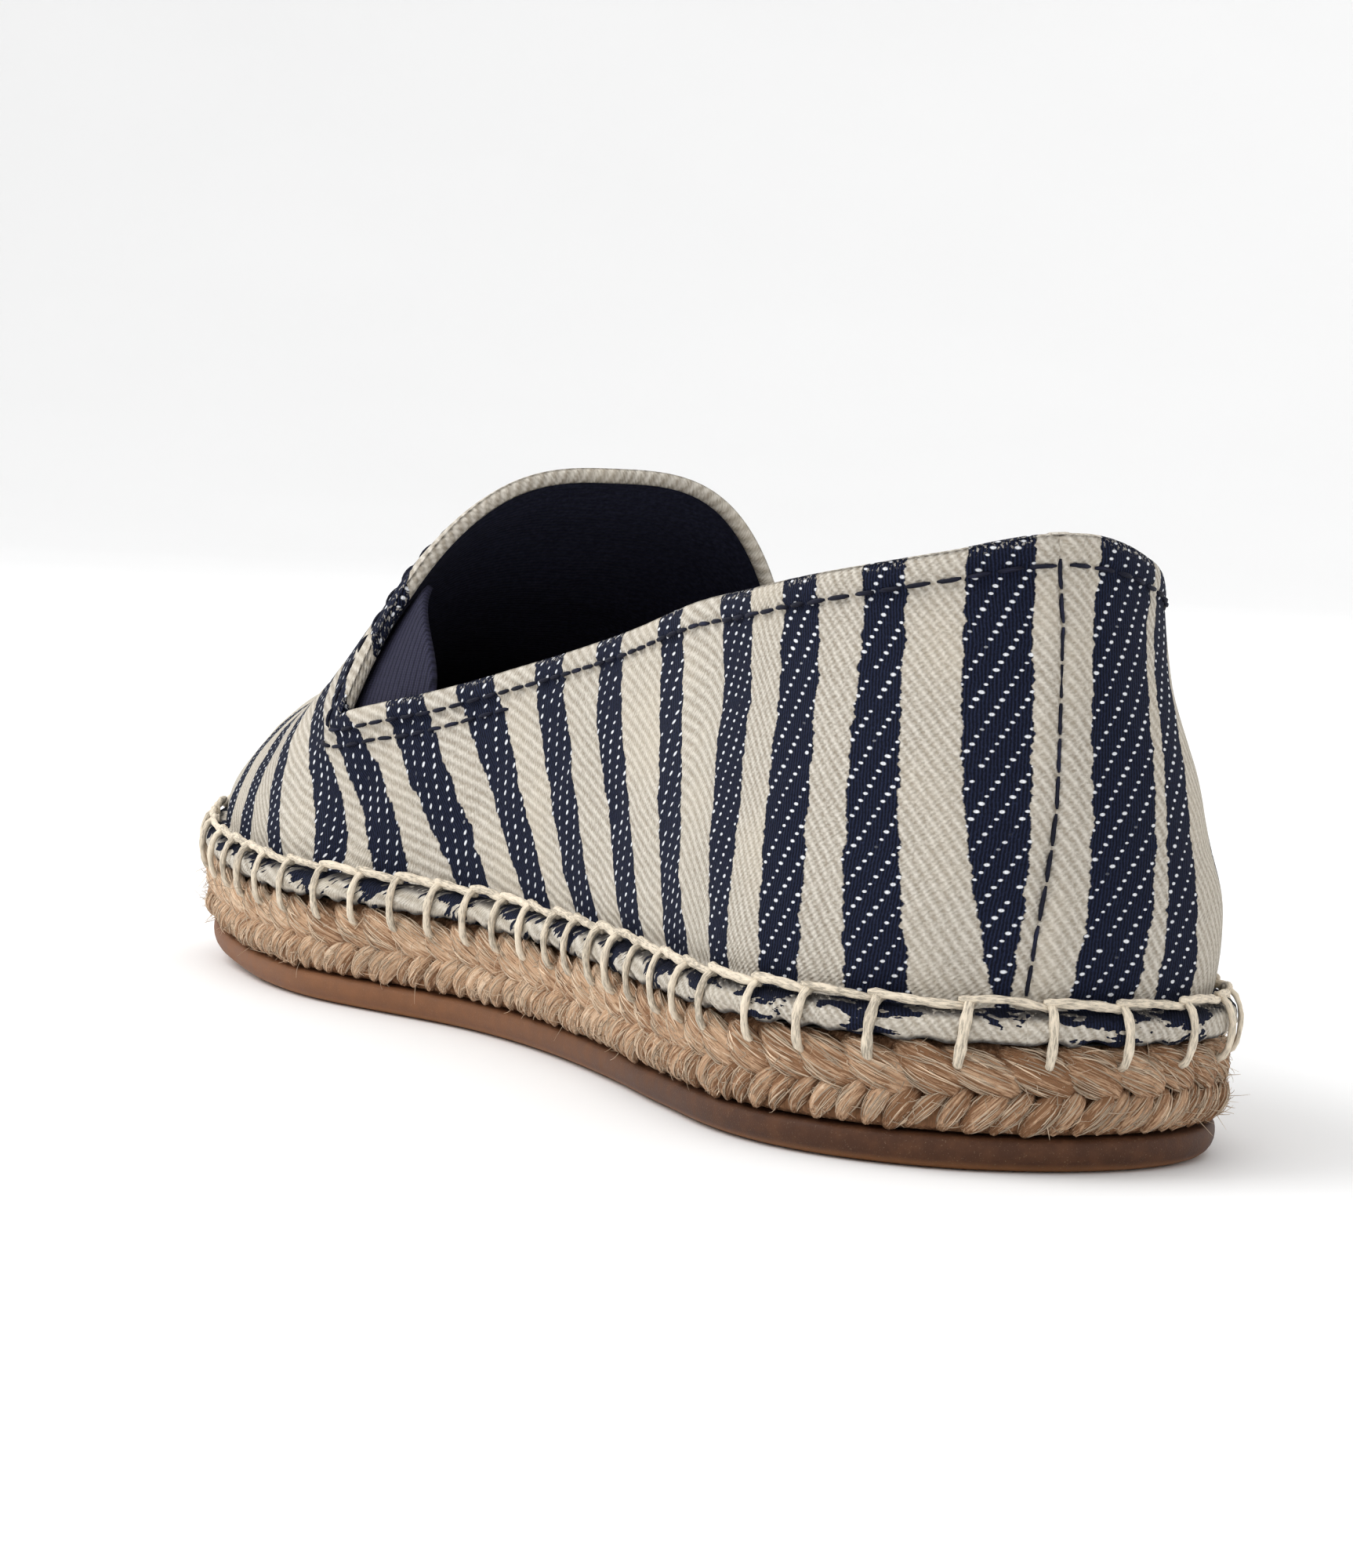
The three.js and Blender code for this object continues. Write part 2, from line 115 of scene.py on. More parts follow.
OUTER_HEEL_STRIPES = [
    (-1.6, -6.5, -12.6, -13, 8.1, 10.5, 15.4),
    (-12.3, -17, -28, -30, 7, 6, 9),
    (-30, -35, -46, -50, 8.6, 8.6, 9),
    (-47.5, -53, -64, -68, 8.6, 8.6, 8.6),
    (-65, -74, -84, -90, 8.6, 8.6, 8.6),
    (-83, -96, -105.8, -115, 8.6, 8.6, 8.6),
]
# How far the stripes lean forward as they climb, by distance from the heel's middle.
LEAN_AT = [0, 40, 51, 65, 83, 103, 139, 158, 172, 188, 208, 282]
LEAN = [0.08, 0.12, 0.235, 0.49, 0.65, 0.72, 0.9, 0.93, 0.76, 0.74, 0.2, 0.1]
# The seam at the heel's middle: height over the crease, and distance along the crease.
SEAM_UP = [0, 8.4, 22.2, 32.2, 42.2, 52.1]
SEAM_AT = [7.4, 6.5, 4, 2.8, 1.8, 3]
STITCH_SPACING = 8.74

# Soft folds in the canvas: side, distance along the crease, height over it, lean in degrees from upright,
# length, width and depth. A negative depth is a hollow.
FOLDS = [
    (1, 20, 15, 78, 26, 7, -0.55),
    (1, 47, 17, 70, 30, 8, -0.4),
    (1, 34, 30, 20, 20, 6, 0.25),
    (1, 92, 13, 62, 28, 6, -0.35),
    (1, 112, 20, -35, 22, 5, 0.3),
    (1, 140, 12, -30, 18, 4.5, -0.35),
    (1, 166, 10, -25, 20, 5, -0.45),
    (1, 182, 12, -40, 16, 5, 0.35),
    (-1, 24, 17, 80, 26, 7, -0.5),
    (-1, 62, 18, 60, 30, 7, -0.4),
    (-1, 100, 14, 55, 26, 6, -0.35),
    (-1, 130, 16, -32, 22, 5, 0.3),
    (-1, 160, 11, -28, 20, 5, -0.4),
    (-1, 184, 12, -38, 16, 5, 0.3),
]


def smooth(table, column):
    """A smooth function through one column of a table, by its first column."""
    at = np.array(table["at"], float)
    value = np.array(table[column], float)
    last = len(at) - 1
    slope = np.array(
        [
            (value[min(i + 1, last)] - value[max(i - 1, 0)]) / (at[min(i + 1, last)] - at[max(i - 1, 0)])
            for i in range(last + 1)
        ]
    )

    def read(x):
        x = np.clip(np.asarray(x, float), at[0], at[-1])
        i = np.clip(np.searchsorted(at, x) - 1, 0, last - 1)
        width = at[i + 1] - at[i]
        s = (x - at[i]) / width
        rest = 1 - s
        return (
            value[i] * (1 + 2 * s) * rest**2
            + slope[i] * width * s * rest**2
            + value[i + 1] * s**2 * (3 - 2 * s)
            - slope[i + 1] * width * s**2 * rest
        )

    return read


def unit(vectors):
    """The vectors' directions."""
    return vectors / np.maximum(np.linalg.norm(vectors, axis=-1, keepdims=True), 1e-9)


def ease(low, high, x):
    """0 at low and 1 at high, softly."""
    t = np.clip((x - low) / (high - low), 0, 1)
    return t * t * (3 - 2 * t)


def ripple(a, b, seed):
    """Gentle unevenness from -1 to 1 over two directions measured in its own wavelengths."""
    rng = np.random.default_rng(seed)
    total = np.zeros(np.broadcast_shapes(np.shape(a), np.shape(b)))
    for _ in range(7):
        turn, shift = rng.uniform(0, 2 * math.pi, 2)
        size = rng.uniform(0.6, 1.7)
        total += np.sin(2 * math.pi * size * (a * math.cos(turn) + b * math.sin(turn)) + shift)
    return total / 3.5


def share_of(turn):
    """The share of the length from the heel at a turn round the outline."""
    return (1 - np.cos(turn)) / 2


def turn_of(share):
    return np.arccos(np.clip(1 - 2 * share, -1, 1))


class Shoe:
    """The shoe's surfaces from its driving sizes. A turn is the angle round the outline: 0 at the heel's
    middle, pi at the toe tip, negative on the outer side."""

    def __init__(self, sizes):
        self.length = sizes.sole_length / MM
        self.ball = sizes.ball_width / MM
        self.instep = sizes.instep_height / MM
        self.collar = sizes.collar_height / MM
        self.hem_height = sizes.hem_height / MM
        self.hem_width = sizes.hem_width / MM
        self.wall = sizes.wall / MM
        self.spring = sizes.toe_spring / MM
        self.inner, self.outer = smooth(OUTLINE, "inner"), smooth(OUTLINE, "outer")
        self.section = {k: smooth(SECTIONS, k) for k in ("rise", "square", "lean", "swell", "across")}
        self.top_share = smooth(TOPLINE, "height")
        self.turns = np.linspace(-math.pi, math.pi, 4001)
        self.crease_at = self._lengths(self.edge(self.turns, self.hem_width))
        self.rope_at = self._lengths(self.rope_line(self.turns))
        line = self.edge(self.turns, 1.4)
        low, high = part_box("outsole")
        self.shift = (low.x + high.x) / 2 / MM - (line[:, 0].min() + line[:, 0].max()) / 2

    def _lengths(self, line):
        total = lengths_along(line[None])[0]
        return total - np.interp(0, self.turns, total)

    def rope_line(self, turn):
        turn = np.asarray(turn, float)
        share = share_of(turn)
        half = np.where(np.sin(turn) >= 0, self.inner(share), self.outer(share)) * self.ball
        return np.stack([half * np.sin(turn), self.length * (0.5 - share)], -1)

    def outwards(self, turn):
        turn = np.asarray(turn, float)
        ahead, behind = self.rope_line(turn + 0.01), self.rope_line(turn - 0.01)
        return unit(np.stack([behind[..., 1] - ahead[..., 1], ahead[..., 0] - behind[..., 0]], -1))

    def level_outwards(self, turn):
        """Outwards as a direction in space, level with the floor."""
        return np.concatenate([self.outwards(turn), np.zeros(np.shape(turn) + (1,))], -1)

    def edge(self, turn, inset):
        inset = np.broadcast_to(inset, np.shape(turn))
        return self.rope_line(turn) - self.outwards(turn) * inset[..., None]

    def lift(self, share):
        return self.spring * np.maximum(0, (share - SPRING_START) / (1 - SPRING_START)) ** 2

    def sole_point(self, turn, inset, height):
        turn, inset, height = np.broadcast_arrays(turn, inset, height)
        plan = self.edge(turn, inset)
        up = height + self.lift(0.5 - plan[..., 1] / self.length)
        return np.concatenate([plan, up[..., None]], -1)

    def cone(self, share):
        return CONE_HEEL + (CONE_TOE - CONE_HEEL) * share

    def section_height(self, share):
        return self.instep * self.section["rise"](self.cone(share))

    def rise_at(self, share, height):
        return (height - self.hem_height) / (self.section_height(share) - self.hem_height)

    def topline(self, share):
        return self.collar * self.top_share(share)

    def last_point(self, turn, rise):
        turn, rise = np.broadcast_arrays(np.asarray(turn, float), np.asarray(rise, float))
        share = share_of(turn)
        cone = self.cone(share)
        foot = self.edge(turn, self.hem_width)
        square = self.section["square"](cone)
        spread = np.maximum(0, 1 - np.clip(rise, 0, 1) ** square) ** (1 / square)
        swell = self.section["swell"](cone) * rise * (SWELL_TURN - rise) * np.maximum(0, SWELL_END - rise)
        reach = spread * (1 - self.section["lean"](cone) * rise + swell)
        middle = np.stack([self.section["across"](cone) * self.ball, self.length * (0.5 - cone)], -1)
        plan = middle + (foot - middle) * reach[..., None]
        base = FEATHER + self.hem_height + self.lift(share)
        up = base + (self.section_height(share) - self.hem_height) * rise
        return np.concatenate([plan, up[..., None]], -1)

    def turn_at(self, distance):
        """The turn at a signed distance along the crease from the heel's middle."""
        return np.interp(distance, self.crease_at, self.turns)

    def rope_turn_at(self, distance):
        return np.interp(distance, self.rope_at, self.turns)

    def wall_point(self, distance, height, off):
        """A point at a distance along the crease and a height over it, lifted off the canvas."""
        turn = self.turn_at(distance)
        share = share_of(turn)

        def place(d, h):
            t = self.turn_at(d)
            return self.last_point(t, self.rise_at(share_of(t), h + self.hem_height))

        point = place(distance, height)
        along = place(np.asarray(distance) + 0.5, height) - place(np.asarray(distance) - 0.5, height)
        up = place(distance, np.asarray(height) + 0.5) - place(distance, np.asarray(height) - 0.5)
        normal = unit(np.cross(up, along))
        middle = np.stack([np.zeros(np.shape(share)), self.length * (0.5 - share), point[..., 2]], -1)
        flip = np.sign(np.sum(normal * (point - middle), -1, keepdims=True))
        normal = normal * np.where(flip == 0, 1, flip)
        return point + normal * np.asarray(off)[..., None], normal


class Mesh:
    """A mesh in the making: points in millimetres, faces, and values per point."""

    def __init__(self):
        self.points, self.faces, self.values, self.count = [], [], {}, 0

    def add(self, points, faces, **values):
        points = np.asarray(points, float).reshape(-1, 3)
        self.points.append(points)
        for face in faces:
            face = np.asarray(face)
            if len(face):
                self.faces.extend((face + self.count).tolist())
        for name, value in values.items():
            self.values.setdefault(name, []).append(np.asarray(value, float).reshape(len(points), -1))
        self.count += len(points)

    def add_tubes(self, *shape):
        points, faces, values = tubes(*shape)
        self.add(points, faces, **values)
        return self

    def build(self, name, shoe, material, slot, replaces=()):
        points = np.concatenate(self.points)
        mesh = bpy.data.meshes.new(name)
        mesh.from_pydata(((points + [shoe.shift, 0, 0]) * MM).tolist(), [], self.faces)
        for key, parts in self.values.items():
            value = np.concatenate(parts)
            kind = "FLOAT" if value.shape[1] == 1 else "FLOAT_VECTOR"
            layer = mesh.attributes.new(key, kind, "POINT")
            layer.data.foreach_set("value" if kind == "FLOAT" else "vector", value.ravel())
        mesh.polygons.foreach_set("use_smooth", [True] * len(mesh.polygons))
        mesh.materials.append(material)
        mesh.update()
        piece = bpy.data.objects.new(name, mesh)
        bpy.context.scene.collection.objects.link(piece)
        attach(piece, "root")
        if replaces:
            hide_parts(*replaces)


def grid_faces(columns, rows, flip=False):
    """Four-sided faces over points stored column by column."""
    a = (np.arange(columns - 1)[:, None] * rows + np.arange(rows - 1)[None]).ravel()
    quads = np.stack([a, a + rows, a + rows + 1, a + 1], -1)
    return quads[:, ::-1] if flip else quads


def ring_faces(rings, count, flip=False):
    """Faces between closed rings of equal count."""
    i = np.arange(count)
    quads = []
    for r in range(rings - 1):
        a, b = r * count + i, r * count + (i + 1) % count
        quads.append(np.stack([a, b, b + count, a + count], -1))
    quads = np.concatenate(quads)
    return quads[:, ::-1] if flip else quads


def lengths_along(paths):
    """The distance of every point from the start of its path."""
    step = np.linalg.norm(np.diff(paths, axis=1), axis=2)
    return np.concatenate([np.zeros((len(paths), 1)), np.cumsum(step, axis=1)], 1)


def normals_of(points, quads):
    normal = np.zeros_like(points)
    a, b, c, d = (points[quads[:, k]] for k in range(4))
    face = np.cross(c - a, d - b)
    for k in range(4):
        np.add.at(normal, quads[:, k], face)
    return unit(normal)


def edge_out(point, normal, times):
    """The direction up off a closed edge, in the cloth's own surface, softened a few times."""
    tangent = unit(np.roll(point, -1, 0) - np.roll(point, 1, 0))
    out = unit(np.cross(tangent, normal))
    if np.mean(out[:, 2]) < 0:
        out = -out
    for _ in range(times):
        out = unit(out + np.roll(out, 1, 0) + np.roll(out, -1, 0))
    return out


def tubes(paths, outward, wide, deep, sides, ridges=None, seeds=None):
    """Many tubes of equal point count: paths (tube, point, 3), with half widths across and outwards."""
    paths = np.asarray(paths, float)
    count, steps, _ = paths.shape
    wide, deep = (np.broadcast_to(v, (count, steps)) for v in (wide, deep))
    tangent = unit(np.gradient(paths, axis=1))
    sideways = unit(np.cross(tangent, np.broadcast_to(outward, paths.shape)))
    out = np.cross(sideways, tangent)
    angle = np.arange(sides) * 2 * math.pi / sides
    swell = 1 if ridges is None else 1 + ridges
    x = wide[..., None] * np.cos(angle) * swell
    y = deep[..., None] * np.sin(angle) * swell
    points = paths[:, :, None] + x[..., None] * sideways[:, :, None] + y[..., None] * out[:, :, None]
    base = (np.arange(count)[:, None, None] * steps + np.arange(steps - 1)[None, :, None]) * sides
    i = np.arange(sides)[None, None]
    a, b = (base + i).ravel(), (base + (i + 1) % sides).ravel()
    quads = np.stack([a, a + sides, b + sides, b], -1)
    first = np.arange(count)[:, None] * steps * sides + np.arange(sides)[None]
    last = first[:, ::-1] + (steps - 1) * sides
    seeds = np.arange(count) * SEED_STEP if seeds is None else seeds
    z = np.broadcast_to(lengths_along(paths)[..., None], x.shape)
    seed = np.broadcast_to(np.asarray(seeds)[:, None, None], x.shape)
    fibre = np.stack([x, y, z], -1).reshape(-1, 3)
    return points.reshape(-1, 3), [quads, first, last], {"fibre": fibre, "seed": seed.reshape(-1)}


class Wire:
    """One value in a material. An expression on such values adds the nodes that work it out."""

    def __init__(self, recipe, socket):
        self.recipe, self.socket = recipe, socket

    def _math(self, operation, *values):
        return self.recipe.node("ShaderNodeMath", {"operation": operation}, dict(enumerate(values)))

    def __add__(self, other):
        return self._math("ADD", self, other)

    def __radd__(self, other):
        return self._math("ADD", other, self)

    def __sub__(self, other):
        return self._math("SUBTRACT", self, other)

    def __rsub__(self, other):
        return self._math("SUBTRACT", other, self)

    def __mul__(self, other):
        return self._math("MULTIPLY", self, other)

    def __truediv__(self, other):
        return self._math("DIVIDE", self, other)

    def __pow__(self, other):
        return self._math("POWER", self, other)

    def cosine(self):
        return self._math("COSINE", self)

    def nearest(self):
        return self._math("ROUND", self)

    def at_most(self, other):
        return self._math("MINIMUM", self, other)

    def eased(self, low, high):
        """0 below low and 1 above high, or the other way round."""
        settings = {"interpolation_type": "SMOOTHSTEP"}
        inputs = {"Value": self, "From Min": low, "From Max": high}
        return self.recipe.node("ShaderNodeMapRange", settings, inputs)


class Recipe:
    """The nodes of a material, or of the world."""

    def __init__(self, name, world=None):
        self.owner = world or bpy.data.materials.new(name)
        self.owner.use_nodes = True
        self.tree = self.owner.node_tree
        self.tree.nodes.clear()

    def node(self, kind, settings=None, inputs=None, output=0):
        made = self.tree.nodes.new(kind)
        for key, value in (settings or {}).items():
            setattr(made, key, value)
        for key, value in (inputs or {}).items():
            socket = made.inputs[key]
            if isinstance(value, Wire):
                self.tree.links.new(value.socket, socket)
            elif socket.type == "RGBA":
                socket.default_value = (*value[:3], 1)
            else:
                socket.default_value = value
        return Wire(self, made.outputs[output]) if made.outputs else None

    def value(self, name):
        return self.node("ShaderNodeAttribute", {"attribute_name": name}, output="Fac")

    def vector(self, name):
        return self.node("ShaderNodeAttribute", {"attribute_name": name}, output="Vector")

    def point(self, x, y, z=0.0):
        return self.node("ShaderNodeCombineXYZ", None, {"X": x, "Y": y, "Z": z})

    def parts(self, vector):
        return [self.node("ShaderNodeSeparateXYZ", None, {0: vector}, k) for k in range(3)]

    def noise(self, vector, scale=1.0, detail=2.0, rough=0.5):
        inputs = {"Vector": vector, "Scale": scale, "Detail": detail, "Roughness": rough}
        return self.node("ShaderNodeTexNoise", None, inputs)

    def chance(self, vector):
        """A different number from 0 to 1 for each vector."""
        return self.node("ShaderNodeTexWhiteNoise", None, {"Vector": vector}, "Value")

    def mix(self, factor, a, b):
        return self.node("ShaderNodeMix", {"data_type": "RGBA"}, {0: factor, 6: a, 7: b}, 2)

    def here(self):
        """The place on the piece, in millimetres."""
        place = self.node("ShaderNodeTexCoord", None, None, "Object")
        return self.node("ShaderNodeVectorMath", {"operation": "SCALE"}, {0: place, "Scale": 1 / MM})

    def bump(self, height, distance):
        return self.node("ShaderNodeBump", None, {"Height": height, "Distance": distance * MM})

    def finish(self, **inputs):
        named = {key.replace("_", " "): value for key, value in inputs.items()}
        surface = self.node("ShaderNodeBsdfPrincipled", None, named)
        self.node("ShaderNodeOutputMaterial", None, {"Surface": surface})
        return self.owner


def canvas_finish(colours, cloth):
    """Cream twill with navy stripes. Small cream dots stand in slanting rows on the navy."""
    recipe = Recipe("striped canvas")
    u, v = recipe.value("cloth_u"), recipe.value("cloth_v")
    edge, hem, rim = recipe.value("navy"), recipe.value("hem"), recipe.value("rim")

    drift = recipe.noise(recipe.point(u * 0.5, v * 0.5), 1.0, 2) - 0.5
    wave = recipe.noise(recipe.point(u * 0.12, v * 0.42, 3.0), 1.0, 1) - 0.5
    pick = (v / cloth.pick_spacing + drift * 0.7) * 2 * math.pi
    ragged = recipe.noise(recipe.point(u * 0.4, v * 1.6, 9.0), 1.0, 2) - 0.5
    border = edge + wave * 1.3 + pick.cosine() * 0.05 + ragged * 0.8
    blotch = recipe.noise(recipe.point(u * 0.38, v * 0.9, 21.0), 1.0, 3) - 0.5
    border = border + hem.at_most(1.0) * (blotch * 20.0 + 1.0 - hem.eased(1.2, 1.6) * 3.5)
    navy = border.eased(-0.1, 0.1)

    # Dots lie where two slanting families of lines cross: (across, up) is a step from row to row, and
    # (slip, climb) a step along a row.
    across, up, slip, climb = cloth.dot_row_spacing, -0.13, -0.53, 0.88
    area = across * climb - slip * up
    su, sv = u + drift * 0.35, v + drift * 0.3
    first = (su * climb - sv * slip) / area
    second = (sv * across - su * up) / area
    row, place = first.nearest(), second.nearest()
    part, rest = first - row, second - place
    dot_u, dot_v = part * across + rest * slip, part * up + rest * climb
    luck = recipe.chance(recipe.point(row, place, 5.0))
    size = luck * 0.45 + 0.75
    dot_wide, dot_tall = 0.33, 0.19
    reach = ((dot_u / dot_wide) ** 2 + (dot_v / dot_tall) ** 2) ** 0.5 / size
    dot = reach.eased(1.2, 0.75) * luck.eased(0.02, 0.06)

    # Twill ridges slant the other way on the cream, with the yarns' turns along them.
    turn = 2 * math.pi
    slant_u, slant_v, yarn_spacing, warp_spacing = 0.77, 0.64, 0.55, 0.42
    ridge = ((su * slant_u - sv * slant_v) / cloth.twill_spacing * turn + drift * 1.5).cosine()
    yarn = ((su * slant_v + sv * slant_u) / yarn_spacing * turn + drift * 2.0).cosine()
    warp = (su / warp_spacing * turn + drift * 1.2).cosine()
    fuzz = recipe.noise(recipe.point(u * 1.3, v * 4.0, 1.0), 1.0, 4, 0.65)
    grain = recipe.noise(recipe.point(u * 3.2, v * 3.2, 7.0), 1.0, 3, 0.6)
    cloudy = recipe.noise(recipe.point(u * 0.05, v * 0.05, 2.0), 1.0, 2)
    knots = recipe.noise(recipe.point(u * 1.5, v * 1.2, 13.0), 1.0, 2)
    shade = ridge * knots.eased(0.3, 0.62) * 0.65 + yarn * 0.16 + (fuzz - 0.5) * 1.9 + (grain - 0.5) * 1.2
    cream = recipe.mix(shade.eased(-1.0, 0.95), colours.cream_shade, colours.cream)
    cream = recipe.mix(cloudy.eased(0.4, 0.75) * 0.35, cream, colours.cream_warm)
    deep = recipe.mix((grain + warp * 0.2).eased(0.3, 0.75), colours.navy_shade, colours.navy)
    deep = recipe.mix(grain.eased(0.62, 0.8) * 0.3, deep, colours.navy_worn)
    deep = recipe.mix(dot * (1 - hem.at_most(1.0)) * 0.97, deep, colours.dot)
    tips = recipe.noise(recipe.point(u * 2.2, v * 2.2, 31.0), 1.0, 2).eased(0.55, 0.62)
    deep = recipe.mix(tips * rim.eased(0.75, 0.1) * 0.5, deep, colours.cream)
    colour = recipe.mix(navy, cream, deep)
    # A painted shadow darkens the hem under its thread. Its lower edge is dark as well, as navy cut edge and painted
    # shadow.
    crease = hem.eased(0.3, 0.9) * hem.eased(1.4, 1.15) * knots.eased(0.25, 0.45)
    colour = recipe.mix((hem.eased(1.82, 1.98) + crease).at_most(1.0) * 0.85, colour, colours.navy_shade)

    plain = ridge * 0.5 + yarn * 0.22 + fuzz * 1.1 + grain * 0.5
    dotted = dot * 1.3 + warp * 0.25 + grain * 0.9
    height = plain * (1 - navy) + (dotted - 0.3) * navy
    return recipe.finish(
        Base_Color=colour,
        Roughness=0.92 - navy * 0.06,
        Normal=recipe.bump(height, 0.2),
        Specular_IOR_Level=0.12,
    )


def lining_finish(colours):
    """Dull near-black cotton."""
    recipe = Recipe("lining")
    place = recipe.here()
    _, y, z = recipe.parts(place)
    threads = 9.0
    weave = ((y * threads).cosine() + (z * threads).cosine()) * 0.25
    grain = recipe.noise(place, 1.6, 4, 0.6)
    colour = recipe.mix(grain.eased(0.35, 0.75), colours.lining, colours.lining_light)
    return recipe.finish(
        Base_Color=colour, Roughness=0.95, Normal=recipe.bump(weave + grain, 0.12), Specular_IOR_Level=0.15
    )


def shades(colour, *amounts):
    """Darker and lighter forms of one colour."""
    return [tuple(min(1, amount * part) for part in colour) for amount in amounts]


def fibre_finish(name, dark, middle, light, along, round_scale, depth, roughness=0.85, heel_painted_shade=0.0):
    """Long fibres that run with a thread or strand. A painted shade darkens them round the heel, as strong as the last
    argument says.
    """
    recipe = Recipe(name)
    x, y, z = recipe.parts(recipe.vector("fibre"))
    seed = recipe.value("seed")
    fine = recipe.noise(recipe.point(x * round_scale + seed, y * round_scale, z * along), 1.0, 3, 0.6)
    broad = recipe.noise(recipe.point(x * 0.9 + seed, y * 0.9 + 3.0, z * along * 0.6), 1.0, 2)
    tone = recipe.chance(recipe.point(seed, 1.0))
    amount = fine * 0.75 + broad * 0.25 + (tone - 0.5) * 0.16
    # Painted shade: the fibres darken towards the heel.
    if heel_painted_shade:
        _, length, _ = recipe.parts(recipe.here())
        amount = amount - length.eased(45.0, 120.0) * heel_painted_shade
    colour = recipe.mix(amount.eased(0.34, 0.53), dark, middle)
    colour = recipe.mix(amount.eased(0.52, 0.68), colour, light)
    return recipe.finish(
        Base_Color=colour,
        Roughness=roughness,
        Normal=recipe.bump(fine + broad * 0.5, depth),
        Specular_IOR_Level=0.2,
    )


def rubber_finish(colours):
    """Gum rubber, a little dusty and lighter underneath. Painted light makes it paler towards the toe, leaving the
    heel darker as painted shade.
    """
    recipe = Recipe("gum rubber")
    place = recipe.here()
    mottled = recipe.noise(place, 0.35, 4, 0.6)
    pores = recipe.noise(place, 5.0, 2, 0.5)
    _, length, _ = recipe.parts(place)
    # The rubber's own mottled paleness, plus painted light towards the toe.
    pale = mottled.eased(0.35, 0.7) * 0.2 + length.eased(90.0, -20.0) * 0.7
    colour = recipe.mix(pale, colours.rubber, colours.rubber_pale_and_lit)
    colour = recipe.mix(recipe.value("up").eased(1.3, 0.1) * 0.7, colour, colours.rubber_under)
    colour = recipe.mix(pores.eased(0.62, 0.75) * 0.25, colour, colours.rubber_dust)
    return recipe.finish(
        Base_Color=colour,
        Roughness=0.48 + mottled * 0.25,
        Normal=recipe.bump(pores + mottled * 0.5, 0.05),
        Specular_IOR_Level=0.22,
    )


def elastic_finish(colours):
    """Ribbed elastic: its cords run up, with a fine cross thread."""
    recipe = Recipe("ribbed elastic")
    u, v = recipe.value("cloth_u"), recipe.value("cloth_v")
    cord_spacing, thread_spacing = 0.62, 0.34
    cord = (u / cord_spacing * 2 * math.pi).cosine()
    cross = (v / thread_spacing * 2 * math.pi).cosine()
    grain = recipe.noise(recipe.point(u * 3.0, v * 1.2), 1.0, 3)
    shade = cord * 0.4 + cross * 0.12 + (grain - 0.5)
    colour = recipe.mix(shade.eased(-0.7, 0.7), colours.elastic_shade, colours.elastic)
    return recipe.finish(
        Base_Color=colour, Roughness=0.8, Normal=recipe.bump(shade, 0.12), Specular_IOR_Level=0.25
    )


def footbed_finish(colours):
    """Plain woven footbed with a soft nap."""
    recipe = Recipe("footbed cloth")
    place = recipe.here()
    x, y, _ = recipe.parts(place)
    threads = 6.5
    drift = (recipe.noise(place, 0.5, 2) - 0.5) * 3
    weave = (x * threads + drift).cosine() * (y * threads + drift).cosine() * 0.5
    grain = recipe.noise(place, 2.5, 4, 0.6)
    shade = weave * 0.6 + grain
    colour = recipe.mix(shade.eased(0.1, 1.0), colours.footbed_shade, colours.footbed)
    return recipe.finish(Base_Color=colour, Roughness=0.92, Normal=recipe.bump(shade, 0.14))


def gilt_finish(colours):
    """Brushed gold-coloured metal."""
    recipe = Recipe("gilt")
    place = recipe.here()
    x, y, z = recipe.parts(place)
    brushed = recipe.noise(recipe.point(x * 0.4, y * 0.4, z * 14.0), 1.0, 3)
    scuffs = recipe.noise(place, 1.2, 4)
    colour = recipe.mix(scuffs.eased(0.4, 0.75) * 0.4, colours.gilt, colours.gilt_dull)
    return recipe.finish(
        Base_Color=colour, Metallic=1.0, Roughness=0.2 + brushed * 0.22, Normal=recipe.bump(brushed, 0.02)
    )


def stripe_table():
    """All stripes round the shoe in order. The front ones are the same on both sides."""
    rows = [*OUTER_HEEL_STRIPES, *INNER_HEEL_STRIPES, *FRONT_STRIPES]
    rows += [tuple(-v for v in row[:4]) + row[4:] for row in FRONT_STRIPES]
    return sorted(rows)


def stripe_distance(at, climb, past):
    """How far inside a navy stripe each place is, measured along the crease. Negative on the cream. Also the
    place at the crease from which the cloth's own line climbs there."""
    best = np.full(at.shape, -1e9)
    lines, feet = [], []
    for foot, half, top, ridge, foot_width, half_width, top_width in stripe_table():
        t = np.clip(climb, 0, 1)
        bend = 2 * (foot + top - 2 * half)
        middle = foot + (top - foot) * t + bend * t * (t - 1)
        middle = middle + (ridge - top) * past * (2 - past)
        w_bend = 2 * (foot_width + top_width - 2 * half_width)
        width = foot_width + (top_width - foot_width) * t + w_bend * t * (t - 1)
        best = np.maximum(best, width / 2 - np.abs(at - middle))
        lines.append(middle)
        feet.append(foot)
    lines = np.stack(lines)
    origin = np.where(at < lines[0], feet[0] + at - lines[0], feet[-1] + at - lines[-1])
    for k in range(len(feet) - 1):
        span = np.maximum(lines[k + 1] - lines[k], 0.5)
        part = (at - lines[k]) / span
        inside = (part >= 0) & (part <= 1)
        origin = np.where(inside, feet[k] + part * (feet[k + 1] - feet[k]), origin)
    return best, origin


# The hem's rows: share of its height, and of its width outwards.
HEM_ROWS = [(0, 0.82), (0.12, 1.02), (0.3, 1.15), (0.5, 1.1), (0.7, 0.98), (0.86, 0.74), (0.96, 0.4)]
EDGE_ROUND = 0.6
# Forward of this distance from the shoe's middle, stripes are counted by plain distance.
COUNTED_PLAIN = 84.1
# The collar's fold: its width, the row of stitches that holds it down, and the second row near each notch.
FOLD_WIDTH, FOLD_STITCHES, NOTCH_STITCHES = 3.1, 3.2, 5.4
SEAM_ALLOWANCE = 12


